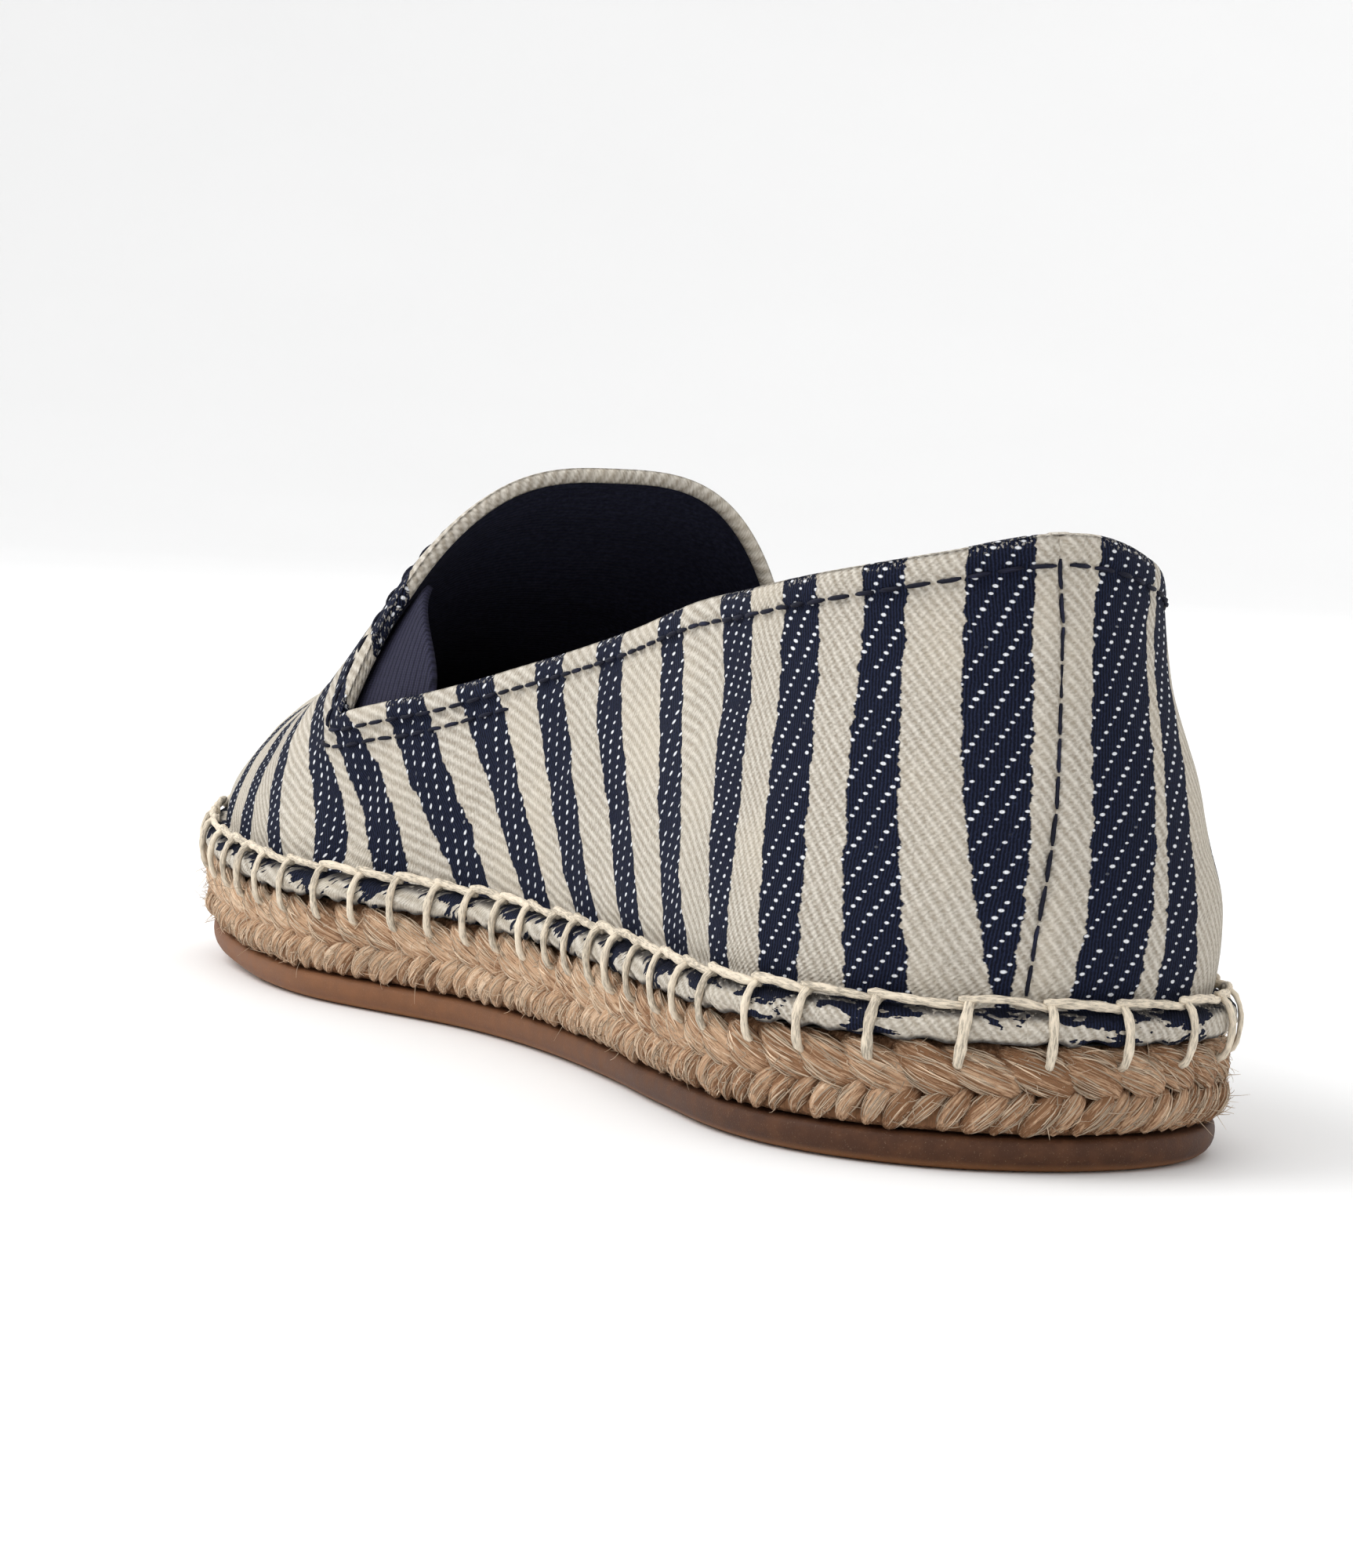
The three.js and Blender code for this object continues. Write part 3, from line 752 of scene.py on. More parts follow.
class Cloth:
    """The canvas as points: columns round the shoe, rows from the hem up to the collar or the ridge."""

    def __init__(self, shoe, quarter=230, vamp=150, low=50, high=54):
        self.shoe = shoe
        self.low, self.high = low, high
        self.blocks = []
        throat = turn_of(THROAT)
        part = 1 - (1 - np.linspace(0, 1, low + 1)) ** 1.25
        hem_up, hem_out = np.array(HEM_ROWS).T
        rows = len(hem_up)
        tall = float(shoe.topline(0)) - shoe.hem_height
        seam = shoe.turn_at(np.interp(np.concatenate([hem_up * 0, part * tall]), SEAM_UP, SEAM_AT))

        def top_of(share):
            return shoe.rise_at(share, shoe.topline(share) - EDGE_ROUND)

        for side in (1, -1):
            turn = throat * np.linspace(0, 1, quarter + 1)[:, None]
            signed = side * turn + seam * np.clip(1 - turn / 0.9, 0, 1) ** 2
            wall = shoe.last_point(signed[:, rows:], top_of(share_of(signed[:, rows:])) * part)
            hem = self._hem(signed[:, :rows], hem_up, hem_out)
            self.blocks.append(self._block(side, signed, hem, wall, False))
            past = np.linspace(0, 1, vamp + 1)[:, None]
            turn = throat + (math.pi - throat) * past
            share = share_of(turn)
            corner = min(float(top_of(np.array(THROAT))), 0.95)
            square = shoe.section["square"](shoe.cone(share))
            start = np.arcsin(corner ** (square / 2))
            step = np.linspace(0, 1, high + 1)[None, 1:]
            upper = np.sin(start + (math.pi / 2 - start) * step) ** (2 / square)
            rises = np.concatenate([corner * np.broadcast_to(part, (len(past), low + 1)), upper], 1)
            climb = np.concatenate([np.zeros(low + 1), step[0]])[None]
            reach = TONGUE_REACH - EDGE_ROUND / shoe.length * 0.8
            back = reach * np.sin(climb * math.pi / 2) * np.maximum(0, 1 - past * 1.6)
            leaned = turn_of(share - back)
            wall = shoe.last_point(side * leaned, rises)
            hem = self._hem(side * turn, hem_up, hem_out)
            signed = side * turn * np.ones(rows + wall.shape[1])
            self.blocks.append(self._block(side, signed, hem, wall, True))
        self._join()

    def _hem(self, turn, up, out):
        shoe = self.shoe
        distance = np.interp(turn, shoe.turns, shoe.crease_at)
        fray = ripple(distance / 5.5, up * 0.4, 3) * 0.35 * (1 - up) ** 2
        bulge = ripple(distance / 9.0, up * 0.7, 4) * 0.12
        inset = shoe.hem_width * (1 - out - bulge)
        return shoe.sole_point(turn, inset, FEATHER + shoe.hem_height * up + np.maximum(fray, -0.2))

    def _block(self, side, turn, hem, wall, vamp):
        shoe = self.shoe
        points = np.concatenate([hem, wall], 1)
        rows = len(HEM_ROWS)
        column = np.interp(turn, shoe.turns, shoe.crease_at)
        front = shoe.crease_at[shoe.turns >= 0]
        forward = shoe.edge(shoe.turns[shoe.turns >= 0], shoe.hem_width)[:, 1]
        by_y = np.interp(-points[..., 1], -forward, front)
        beyond = np.interp(COUNTED_PLAIN, -forward, front) - COUNTED_PLAIN - points[..., 1]
        by_y = side * np.where(points[..., 1] < -COUNTED_PLAIN, beyond, by_y)
        # Stripes keep to the crease at the heel, and to plain distance along the shoe towards the toe.
        weight = ease(100, 150, np.abs(column))
        at = column * (1 - weight) + by_y * weight
        share = share_of(turn)
        height = points[..., 2] - shoe.lift(0.5 - points[..., 1] / shoe.length) - FEATHER - shoe.hem_height
        height = np.concatenate([np.zeros((len(points), rows)), np.maximum(height[:, rows:], 0)], 1)
        if vamp:
            # Round the toe's front the cloth turns down, so its length there is measured down the front.
            facing = np.clip(-shoe.outwards(turn)[..., 1], 0, 1) ** 2
            at = at + side * 0.75 * facing * (height[:, -1:] - height)
        corner = float(shoe.topline(THROAT)) - shoe.hem_height
        tall = corner if vamp else shoe.topline(share) - shoe.hem_height
        ridge = np.maximum(height[:, -1:] - corner, 1)
        past = np.clip((height - corner) / ridge, 0, 1) * vamp
        distance, origin = stripe_distance(at, height / tall, past)

        up = lengths_along(points)
        up = up - up[:, rows : rows + 1]
        run = lengths_along(points.swapaxes(0, 1)).T * side
        fine = np.linspace(0, 300, 1201)
        slope = np.arctan(np.interp(fine, LEAN_AT, LEAN))
        flat = np.cumsum(np.cos(slope)) * (fine[1] - fine[0])
        steep = np.cumsum(np.sin(slope)) * (fine[1] - fine[0])
        size = np.abs(origin)
        even = np.sign(origin) * np.interp(size, fine, flat)
        # The weave follows the cloth's own length at the heel, and leans with the stripes further forward.
        heel = 1 - ease(45, 80, np.abs(at)) if not vamp else np.zeros(at.shape)
        u = even * (1 - heel) + run * heel
        cosine = np.cos(np.interp(size, fine, slope))
        if side < 0:
            ridge = self.ridge_climb if vamp else self.ridge_climb[0]
            up_here = 2 * ridge.reshape(-1, 1) - up if vamp else 2 * ridge - up
        else:
            up_here = up
            if vamp:
                self.ridge_climb = up[:, -1]
        v = up_here + np.interp(size, fine, steep) * (1 - heel)
        stretch = np.where(np.abs(at) < 60, 0.85, 1.0) * (cosine * (1 - heel) + heel)
        off_seam = (at - np.interp(height, SEAM_UP, SEAM_AT)) * np.where(np.abs(at) < 40, 0.8, 1)
        return {
            "side": side,
            "points": points,
            "navy": distance * stretch,
            "cloth_u": np.abs(u) if vamp else u * side,
            "cloth_v": v,
            "at": at,
            "height": height,
            "off_seam": off_seam,
            "hem": np.broadcast_to(np.append(2 - np.array(HEM_ROWS)[:, 0], np.zeros(wall.shape[1])), at.shape),
        }

    def _join(self):
        """One point list for all blocks, with shared edges joined, then the folds, puffs and seams."""
        shoe = self.shoe
        points, quads, base = [], [], 0
        names = ("navy", "cloth_u", "cloth_v", "at", "height", "off_seam", "hem")
        values = {name: [] for name in names}
        self.offsets = []
        for block in self.blocks:
            columns, rows, _ = block["points"].shape
            self.offsets.append(base)
            points.append(block["points"].reshape(-1, 3))
            quads.append(grid_faces(columns, rows, block["side"] < 0) + base)
            for name in names:
                values[name].append(np.asarray(block[name]).reshape(-1))
            base += columns * rows
        owner = np.concatenate([np.full(len(q), k) for k, q in enumerate(quads)])
        points, quads = np.concatenate(points), np.concatenate(quads)
        keys = np.round(points * 500).astype(np.int64)
        _, first, back = np.unique(keys, axis=0, return_index=True, return_inverse=True)
        back = back.reshape(-1)
        self.points = points[first]
        self.index = back
        self.quads = back[quads]
        different = np.ones(len(self.quads), bool)
        for k in range(4):
            different &= self.quads[:, k] != self.quads[:, (k + 1) % 4]
        self.tight = [list(dict.fromkeys(q)) for q in self.quads[~different].tolist()]
        self.tight = [q for q in self.tight if len(q) > 2]
        self.quads, self.owner = self.quads[different], owner[different]
        # The cloth is cut at the heel's seam, so the outer side has its own weave there.
        own = self.offsets[2] + np.arange(self.blocks[2]["points"].shape[1])
        self.seam_ids, self.seam_values = self.index[own], {}
        for name in names:
            joined = np.concatenate(values[name])
            self.seam_values[name] = joined[own]
            setattr(self, name, joined[first])
        normal = normals_of(self.points, self.quads)
        middle = self.points.mean(0)
        if np.sum(normal * (self.points - middle)) < 0:
            self.quads = self.quads[:, ::-1]
            self.tight = [q[::-1] for q in self.tight]
            normal = -normal
        self.loop = self._edge_loop()
        self.rim = self._distance_to(self.points[self.loop])
        self.points = self.points + normal * self._relief()[:, None]
        self.normals = normals_of(self.points, self.quads)

    def _edge_loop(self):
        rows = len(HEM_ROWS) + self.low + 1
        tall = rows + self.high
        loops = []
        for quarter, vamp in ((0, 1), (2, 3)):
            columns = self.blocks[quarter]["points"].shape[0]
            top = self.offsets[quarter] + np.arange(columns) * rows + rows - 1
            tongue = self.offsets[vamp] + np.arange(rows, tall)
            edge = np.stack([np.append(top, tongue), np.append(top - 1, tongue + tall)])
            loops.append(self.index[edge])
        loop = np.concatenate([loops[0], loops[1][:, ::-1][:, 1:-1]], 1)
        self.beside = loop[1]
        return loop[0]

    def _distance_to(self, line):
        nearest = np.full(len(self.points), 1e9)
        near = self.points[:, 2] > 30
        chosen = np.flatnonzero(near)
        ahead = np.roll(line, -1, 0)
        dense = np.concatenate([line + (ahead - line) * f for f in (0, 0.5)])
        for start in range(0, len(chosen), 4000):
            rows = chosen[start : start + 4000]
            gap = self.points[rows, None] - dense[None]
            nearest[rows] = np.sqrt(np.min(np.einsum("ijk,ijk->ij", gap, gap), 1))
        return np.minimum(nearest, 40)

    def _relief(self):
        """How far each point stands out of the plain last."""
        rim, at, height, seam = self.rim, self.at, self.height, self.off_seam
        wall = np.where(self.hem < 0.5, 1.0, 0.0)

        def bell(x, width):
            return np.exp(-((x / width) ** 2))

        # The collar's fold, pulled in along its stitches.
        out = 0.3 * np.sin(math.pi * np.clip(rim / FOLD_WIDTH, 0, 1)) ** 0.8
        out -= 0.24 * bell(rim - FOLD_STITCHES, 0.5)
        tug = np.cos(self.cloth_u / 3.6 * 2 * math.pi)
        out += 0.06 * tug * bell(rim - FOLD_STITCHES, 1.2)
        # The heel's seam, with the turned cloth swelling beside it.
        heel = (np.abs(seam) < SEAM_ALLOWANCE) * wall
        out -= 0.42 * bell(seam, 0.5) * heel
        out += 0.3 * bell(np.abs(seam) - 1.8, 1.2) * heel
        out += 0.2 * ease(4.4, 3.6, np.abs(seam)) * heel
        # Puckers between the hem's stitches.
        pucker = np.cos(at / STITCH_SPACING * 2 * math.pi)
        out += 0.16 * pucker * np.exp(-height / 3.5) * wall
        out -= 0.15 * np.exp(-height / 1.2) * wall
        fade = ease(0, 4, height) * ease(0, 5, rim)
        out += 0.22 * ripple(at / 34, height / 24, 11) * fade
        out += 0.09 * ripple(at / 12, height / 9, 12) * fade
        side = np.where(at >= 0, 1, -1)
        for which, distance, up, lean, length, width, depth in FOLDS:
            turn = math.radians(lean)
            da, dh = np.abs(at) - distance, height - up
            long = da * math.sin(turn) + dh * math.cos(turn)
            wide = da * math.cos(turn) - dh * math.sin(turn)
            shape = np.exp(-((long / (length / 2)) ** 2) - (wide / (width / 2)) ** 2)
            out += depth * shape * fade * (side == which) * wall
        return out

    def rim_rows(self):
        """The rounded collar edge: rings that roll over from the canvas to the inside."""
        point, normal = self.points[self.loop], self.normals[self.loop]
        out = edge_out(point, normal, 3)
        half = self.shoe.wall / 2
        rings = []
        for degrees in (30, 60, 90, 120, 150, 180):
            a = math.radians(degrees)
            rings.append(point - normal * half * (1 - math.cos(a)) + out * 0.9 * math.sin(a))
        for down in (1.0, 2.2):
            rings.append(point - normal * (2 * half) - out * down)
        return np.stack(rings)


def size(name, description, default):
    return FloatProperty(name=name, description=description, default=default * MM, unit="LENGTH")


def tint(name, description, colour):
    return FloatVectorProperty(
        name=name, description=description, default=colour, subtype="COLOR", size=3, min=0, max=1
    )


class ShoeSizes(PropertyGroup):
    """Driving sizes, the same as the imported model's."""

    sole_length: size("Sole length", "Rope sole, heel to toe", 250)
    ball_width: size("Ball width", "Rope sole across the ball", 83)
    toe_spring: size("Toe spring", "Lift of the toe tip", 6)
    instep_height: size("Instep height", "Back of the tongue over the rope", 60.5)
    collar_height: size("Collar height", "Back of the collar over the rope", 56.2)
    hem_height: size("Hem height", "Turned-out lower edge", 3.8)
    hem_width: size("Hem width", "How far the hem reaches out", 2.6)
    wall: size("Wall", "Canvas and lining together", 2)


class ClothSettings(PropertyGroup):
    """The weave's spacing, in millimetres."""

    dot_row_spacing: FloatProperty(name="Dot rows", description="Distance between rows of dots, mm", default=2.85)
    twill_spacing: FloatProperty(name="Twill", description="Distance between twill ridges, mm", default=1.15)
    pick_spacing: FloatProperty(name="Picks", description="Distance between steps of a stripe's edge, mm", default=1.0)


class RopeSettings(PropertyGroup):
    """The plaited sole and the threads that hold it."""

    plait_pitch: size("Plait pitch", "Between strands", 6.5)
    hairs: IntProperty(name="Loose hairs", description="Stray jute fibres", default=4600, min=0)
    stitch_spacing: size("Stitch spacing", "Hem stitches", STITCH_SPACING)
    thread_width: size("Thread", "Sewing thread's width", 1.05)
    top_stitch: size("Collar stitch", "Length of a collar stitch", 2.9)


class ShoeColours(PropertyGroup):
    """Colours of every finish."""

    cream: tint("Cream", "Canvas ground", (0.69, 0.645, 0.57))
    cream_shade: tint("Cream shade", "Between the twill's ridges", (0.34, 0.295, 0.235))
    cream_warm: tint("Warm cream", "Cloudy patches", (0.68, 0.6, 0.48))
    navy: tint("Navy", "Stripes", (0.013, 0.018, 0.043))
    navy_shade: tint("Navy shade", "Between the stripes' yarns", (0.003, 0.004, 0.011))
    navy_worn: tint("Worn navy", "Lighter yarns", (0.045, 0.053, 0.1))
    dot: tint("Dots", "Cream dots on the stripes", (0.8, 0.82, 0.86))
    lining: tint("Lining", "Inside", (0.007, 0.008, 0.019))
    lining_light: tint("Lining light", "Raised yarns inside", (0.018, 0.02, 0.04))
    thread: tint("Thread", "Hem thread", (0.72, 0.63, 0.5))
    thread_dark: tint("Dark thread", "Collar and heel stitches", (0.006, 0.007, 0.018))
    jute: tint("Jute", "Rope", (0.62, 0.4, 0.25))
    # Painted shade between the rope's fibres.
    jute_shade: tint("Dark jute", "Between the rope's fibres", (0.26, 0.13, 0.065))
    jute_light: tint("Light jute", "Fibres in the light", (0.84, 0.65, 0.47))
    rubber: tint("Rubber", "Outsole", (0.062, 0.024, 0.011))
    # Paler rubber, for the mottling and for the painted light towards the toe.
    rubber_pale_and_lit: tint("Light rubber", "Outsole's paler parts", (0.22, 0.095, 0.042))
    rubber_under: tint("Underside", "Outsole underneath", (0.38, 0.165, 0.06))
    rubber_dust: tint("Dust", "Dust in the rubber's pores", (0.42, 0.3, 0.2))
    elastic: tint("Elastic", "Gores", (0.027, 0.026, 0.056))
    elastic_shade: tint("Elastic shade", "Between the ribs", (0.01, 0.01, 0.022))
    footbed: tint("Footbed", "Insole", (0.5, 0.42, 0.31))
    footbed_shade: tint("Footbed shade", "Insole's weave", (0.3, 0.24, 0.17))
    gilt: tint("Gilt", "Side tag", (0.86, 0.62, 0.28))
    gilt_dull: tint("Dull gilt", "Rubbed places", (0.6, 0.42, 0.19))


def settings_of(context):
    scene = context.scene
    return Shoe(scene.shoe_sizes), scene.shoe_cloth, scene.shoe_rope, scene.shoe_colours


made_cloth = {}


def cloth_of(shoe):
    """The canvas points, worked out once for all the pieces that lie on them."""
    if "canvas" not in made_cloth:
        made_cloth["canvas"] = Cloth(shoe)
    return made_cloth["canvas"]


class SHOE_OT_canvas(Operator):
    """The striped canvas with its rolled collar edge and turned-out hem"""

    bl_idname = "shoe.canvas"
    bl_label = "Canvas"

    def execute(self, context):
        shoe, weave, _, colours = settings_of(context)
        cloth = cloth_of(shoe)
        mesh = Mesh()
        loop, rings = cloth.loop, cloth.rim_rows()
        total, cut = len(cloth.points), len(cloth.seam_ids)
        twin = np.arange(total)
        twin[cloth.seam_ids] = total + np.arange(cut)
        sheet = cloth.quads.copy()
        sheet[cloth.owner == 2] = twin[sheet[cloth.owner == 2]]
        start, count = total + cut, len(loop) + 1
        loop, beside = np.append(loop, twin[loop[0]]), np.append(cloth.beside, twin[cloth.beside[0]])
        rings = rings[:, np.append(np.arange(count - 1), 0)]
        quads = grid_faces(len(rings), count) + start
        i = np.arange(count - 1)
        bridge = np.stack([loop[i], loop[i + 1], start + i + 1, start + i], -1)
        sewn = np.concatenate([cloth.points, cloth.points[cloth.seam_ids]])
        points = np.concatenate([sewn, rings.reshape(-1, 3)])
        gap = np.linalg.norm(sewn[loop] - sewn[beside], axis=1).clip(0.3)
        # How far each ring of the rolled edge lies from the sheet, along the cloth.
        reach = np.append(np.arange(1, 7) * 0.52, (4.1, 5.3))[:, None]
        values = {}
        for name in ("navy", "cloth_u", "cloth_v", "hem", "rim"):
            base = getattr(cloth, name)
            base = np.append(base, cloth.seam_values.get(name, base[cloth.seam_ids]))
            slope = np.clip((base[loop] - base[beside]) / gap, -1.2, 1.2) * (name != "rim")
            values[name] = np.append(base, (base[loop] + slope * reach).ravel())
        # The rolled edge's winding follows the sheet's.
        normal = normals_of(points, bridge)
        if np.sum(normal[loop[:-1]] * cloth.normals[cloth.loop]) < 0:
            bridge, quads = bridge[:, ::-1], quads[:, ::-1]
        mesh.add(points, [sheet, cloth.tight, bridge, quads], **values)
        # The hem's underside closes in to the wall's foot.
        turns = shoe.turns[::5][:-1]
        rows = [shoe.sole_point(turns, inset, FEATHER + 0.05) for inset in (0.6, 2.6, shoe.hem_width + shoe.wall)]
        flat = np.stack(rows).reshape(-1, 3)
        zero = np.zeros(len(flat))
        faces = ring_faces(3, len(turns))
        mesh.add(flat, [faces], navy=zero - 3, cloth_u=zero, cloth_v=zero, hem=zero + 2, rim=zero + 40)
        mesh.build("canvas_upper", shoe, canvas_finish(colours, weave), "canvas", ("upper",))
        return {"FINISHED"}


class SHOE_OT_lining(Operator):
    """The dark cotton inside the canvas"""

    bl_idname = "shoe.lining"
    bl_label = "Lining"

    def execute(self, context):
        shoe, _, _, colours = settings_of(context)
        # A coarser cloth, set in by the wall.
        inside = Cloth(shoe, 110, 70, 26, 28)
        keep = inside.hem < 0.5
        depth = shoe.wall + 0.12
        points = inside.points - inside.normals * depth
        loop = inside.loop
        out = edge_out(points[loop], inside.normals[loop], 3)
        points[loop] = points[loop] - out * 0.55 + inside.normals[loop] * 0.1
        quads = inside.quads[np.all(keep[inside.quads], 1)][:, ::-1]
        tight = [q[::-1] for q in inside.tight if all(keep[k] for k in q)]
        used = np.unique(np.concatenate([quads.ravel(), np.array([k for q in tight for k in q], int)]))
        place = np.full(len(points), -1)
        place[used] = np.arange(len(used))
        mesh = Mesh()
        mesh.add(points[used], [place[quads], [[int(place[k]) for k in q] for q in tight]])
        turns = shoe.turns[::5][:-1]
        skirt = [
            shoe.sole_point(turns, shoe.hem_width + shoe.wall + 0.15, FEATHER + up)
            for up in (0.1, shoe.hem_height + 0.8)
        ]
        mesh.add(np.stack(skirt).reshape(-1, 3), [ring_faces(2, len(turns))])
        mesh.build("lining", shoe, lining_finish(colours), "canvas", ("upper",))
        return {"FINISHED"}


def twisted(count, steps, sides, along, plies, pitch, depth):
    """The lobes of a twisted thread for tubes(), by distance along it."""
    angle = np.arange(sides) * 2 * math.pi / sides
    lobes = np.cos(plies * angle[None, None] - along[..., None] / pitch * 2 * math.pi)
    return depth * lobes * np.ones((count, steps, sides))


class SHOE_OT_hem_threads(Operator):
    """The cream thread that sews the hem to the rope: a running thread and upright stitches over it"""

    bl_idname = "shoe.hem_threads"
    bl_label = "Hem threads"

    def execute(self, context):
        shoe, _, rope, colours = settings_of(context)
        rng = np.random.default_rng(41)
        around = shoe.crease_at[-1] - shoe.crease_at[0]
        count = round(around * MM / rope.stitch_spacing)
        spot = shoe.crease_at[0] + (np.arange(count) + 0.3) * around / count
        spot = spot + rng.normal(0, 0.45, count)
        half = rope.thread_width / MM / 2
        finish = fibre_finish("cotton thread", *shades(colours.thread, 0.5, 1, 1.2), 0.9, 5.0, 0.12)
        # Upright stitches: inset from the rope's line and height over the hem's foot.
        profile = np.array(
            [(1.5, 4.5), (0.7, 4.35), (-0.15, 3.6), (-0.62, 2.6), (-0.85, 1.5), (-0.85, 0.4), (-0.72, -0.6),
             (-0.5, -1.5), (-0.1, -2.25), (0.75, -2.75)]
        )
        fall = rng.normal(0, 0.35, count)
        steps = len(profile)
        along = np.linspace(0, 1, steps)
        lean = rng.normal(0.5, 0.45, count)
        distance = spot[:, None] + lean[:, None] * (along - 0.4)[None]
        turn = shoe.turn_at(distance)
        height = FEATHER + profile[None, :, 1] * (1 + 0.08 * fall[:, None])
        paths = shoe.sole_point(turn, profile[None, :, 0], height)
        normal = shoe.level_outwards(turn)
        size = half * (1 + rng.normal(0, 0.07, count))[:, None] * np.ones(steps)
        ridges = twisted(count, steps, 12, lengths_along(paths), 2, 3.2, 0.13)
        stitches = Mesh().add_tubes(paths, normal, size * 1.12, size * 0.8, 12, ridges)
        stitches.build("hem_stitches", shoe, finish, "canvas")
        # Running thread from the head of one stitch to the next.
        ahead = np.roll(spot, -1)
        ahead[-1] += around
        steps = 15
        along = np.linspace(-0.04, 1.1, steps)
        distance = spot[:, None] + (ahead - spot)[:, None] * along[None]
        wrapped = np.where(distance > shoe.crease_at[-1], distance - around, distance)
        turn = shoe.turn_at(wrapped)
        sway = rng.normal(0, 0.18, (count, 3))
        belly = np.sin(math.pi * np.clip(along, 0, 1))[None]
        tilt = (along - 0.5)[None]
        height = FEATHER + shoe.hem_height + 0.5 + 0.75 * tilt + (0.12 + sway[:, :1]) * belly
        inset = shoe.hem_width * 0.4 - 0.35 * belly + sway[:, 1:2] * belly - 0.5 * np.clip(tilt, 0, 1)
        paths = shoe.sole_point(turn, inset, height)
        normal = shoe.level_outwards(turn)
        taper = np.ones(steps)
        taper[0], taper[-1] = 0.6, 0.5
        size = half * 0.98 * (1 + rng.normal(0, 0.06, count))[:, None] * taper
        ridges = twisted(count, steps, 12, lengths_along(paths), 2, 3.6, 0.13)
        running = Mesh().add_tubes(paths, normal, size, size * 0.9, 12, ridges)
        running.build("hem_running_thread", shoe, finish, "canvas")
        return {"FINISHED"}


class SHOE_OT_collar_stitches(Operator):
    """Dark stitches under the collar's edge, round the tongue and down the heel's seam"""

    bl_idname = "shoe.collar_stitches"
    bl_label = "Collar and heel stitches"

    def execute(self, context):
        shoe, _, rope, colours = settings_of(context)
        cloth = cloth_of(shoe)
        rng = np.random.default_rng(17)
        loop = cloth.loop
        point = cloth.points[loop]
        out = edge_out(point, cloth.normals[loop], 4)
        stitches = []

        def dashes(line, face, length, gap):
            """Stitches along a line, with gaps between them."""
            total = lengths_along(line[None])[0]
            place = 0.4
            while place + length < total[-1]:
                size = length * rng.uniform(0.85, 1.15)
                at = np.linspace(place, place + size, 6)
                p = np.stack([np.interp(at, total, line[:, k]) for k in range(3)], -1)
                n = unit(np.stack([np.interp(at, total, face[:, k]) for k in range(3)], -1))
                arch = np.sin(np.linspace(0.0, math.pi, 6))[:, None]
                stitches.append((p + n * (arch * 0.3 + 0.02), n))
                place += size + gap * rng.uniform(0.8, 1.3)

        surface = cloth.points
        band = np.flatnonzero((cloth.rim < 9) & (cloth.hem < 0.5))

        def settle(line):
            """The line laid on the canvas, with the normals there."""
            gap = line[:, None] - surface[band][None]
            near = np.argsort(np.einsum("ijk,ijk->ij", gap, gap), 1)[:, :4]
            face = unit(cloth.normals[band][near].mean(1))
            base = surface[band][near]
            depth = np.mean(np.einsum("ijk,ik->ij", base - line[:, None], face), 1)
            return line + face * depth[:, None], face

        length, gap = rope.top_stitch / MM, 0.75
        row = point - out * FOLD_STITCHES
        closed = np.concatenate([row, row[:1]])
        keep = np.concatenate([[True], np.linalg.norm(np.diff(closed, axis=0), axis=1) > 0.05])
        line, face = settle(closed[keep])
        dashes(line, face, length, gap)
        # A second row runs beside the first near each notch.
        columns = cloth.blocks[0]["points"].shape[0]
        total, near_notch = len(loop), np.arange(columns - 40, columns)
        for rows in (near_notch, (total - near_notch) % total):
            line, face = settle(point[rows] - out[rows] * NOTCH_STITCHES)
            dashes(line, face, length, gap)
        # The heel's seam.
        up = np.linspace(1.0, float(shoe.topline(0)) - shoe.hem_height - 0.9, 60)
        line, face = shoe.wall_point(np.interp(up, SEAM_UP, SEAM_AT), up, np.full(60, -0.12))
        dashes(line, face, length * 1.2, 0.5)
        paths = np.stack([p for p, _ in stitches])
        outward = np.stack([n for _, n in stitches])
        profile = np.array([0.55, 0.95, 1, 1, 0.95, 0.55]) * 0.28
        finish = fibre_finish("dark thread", *shades(colours.thread_dark, 0.6, 1, 2.2), 0.8, 5.0, 0.05, 0.7)
        rows = Mesh().add_tubes(paths, outward, profile[None], profile[None], 6)
        rows.build("collar_stitches", shoe, finish, "canvas")
        return {"FINISHED"}


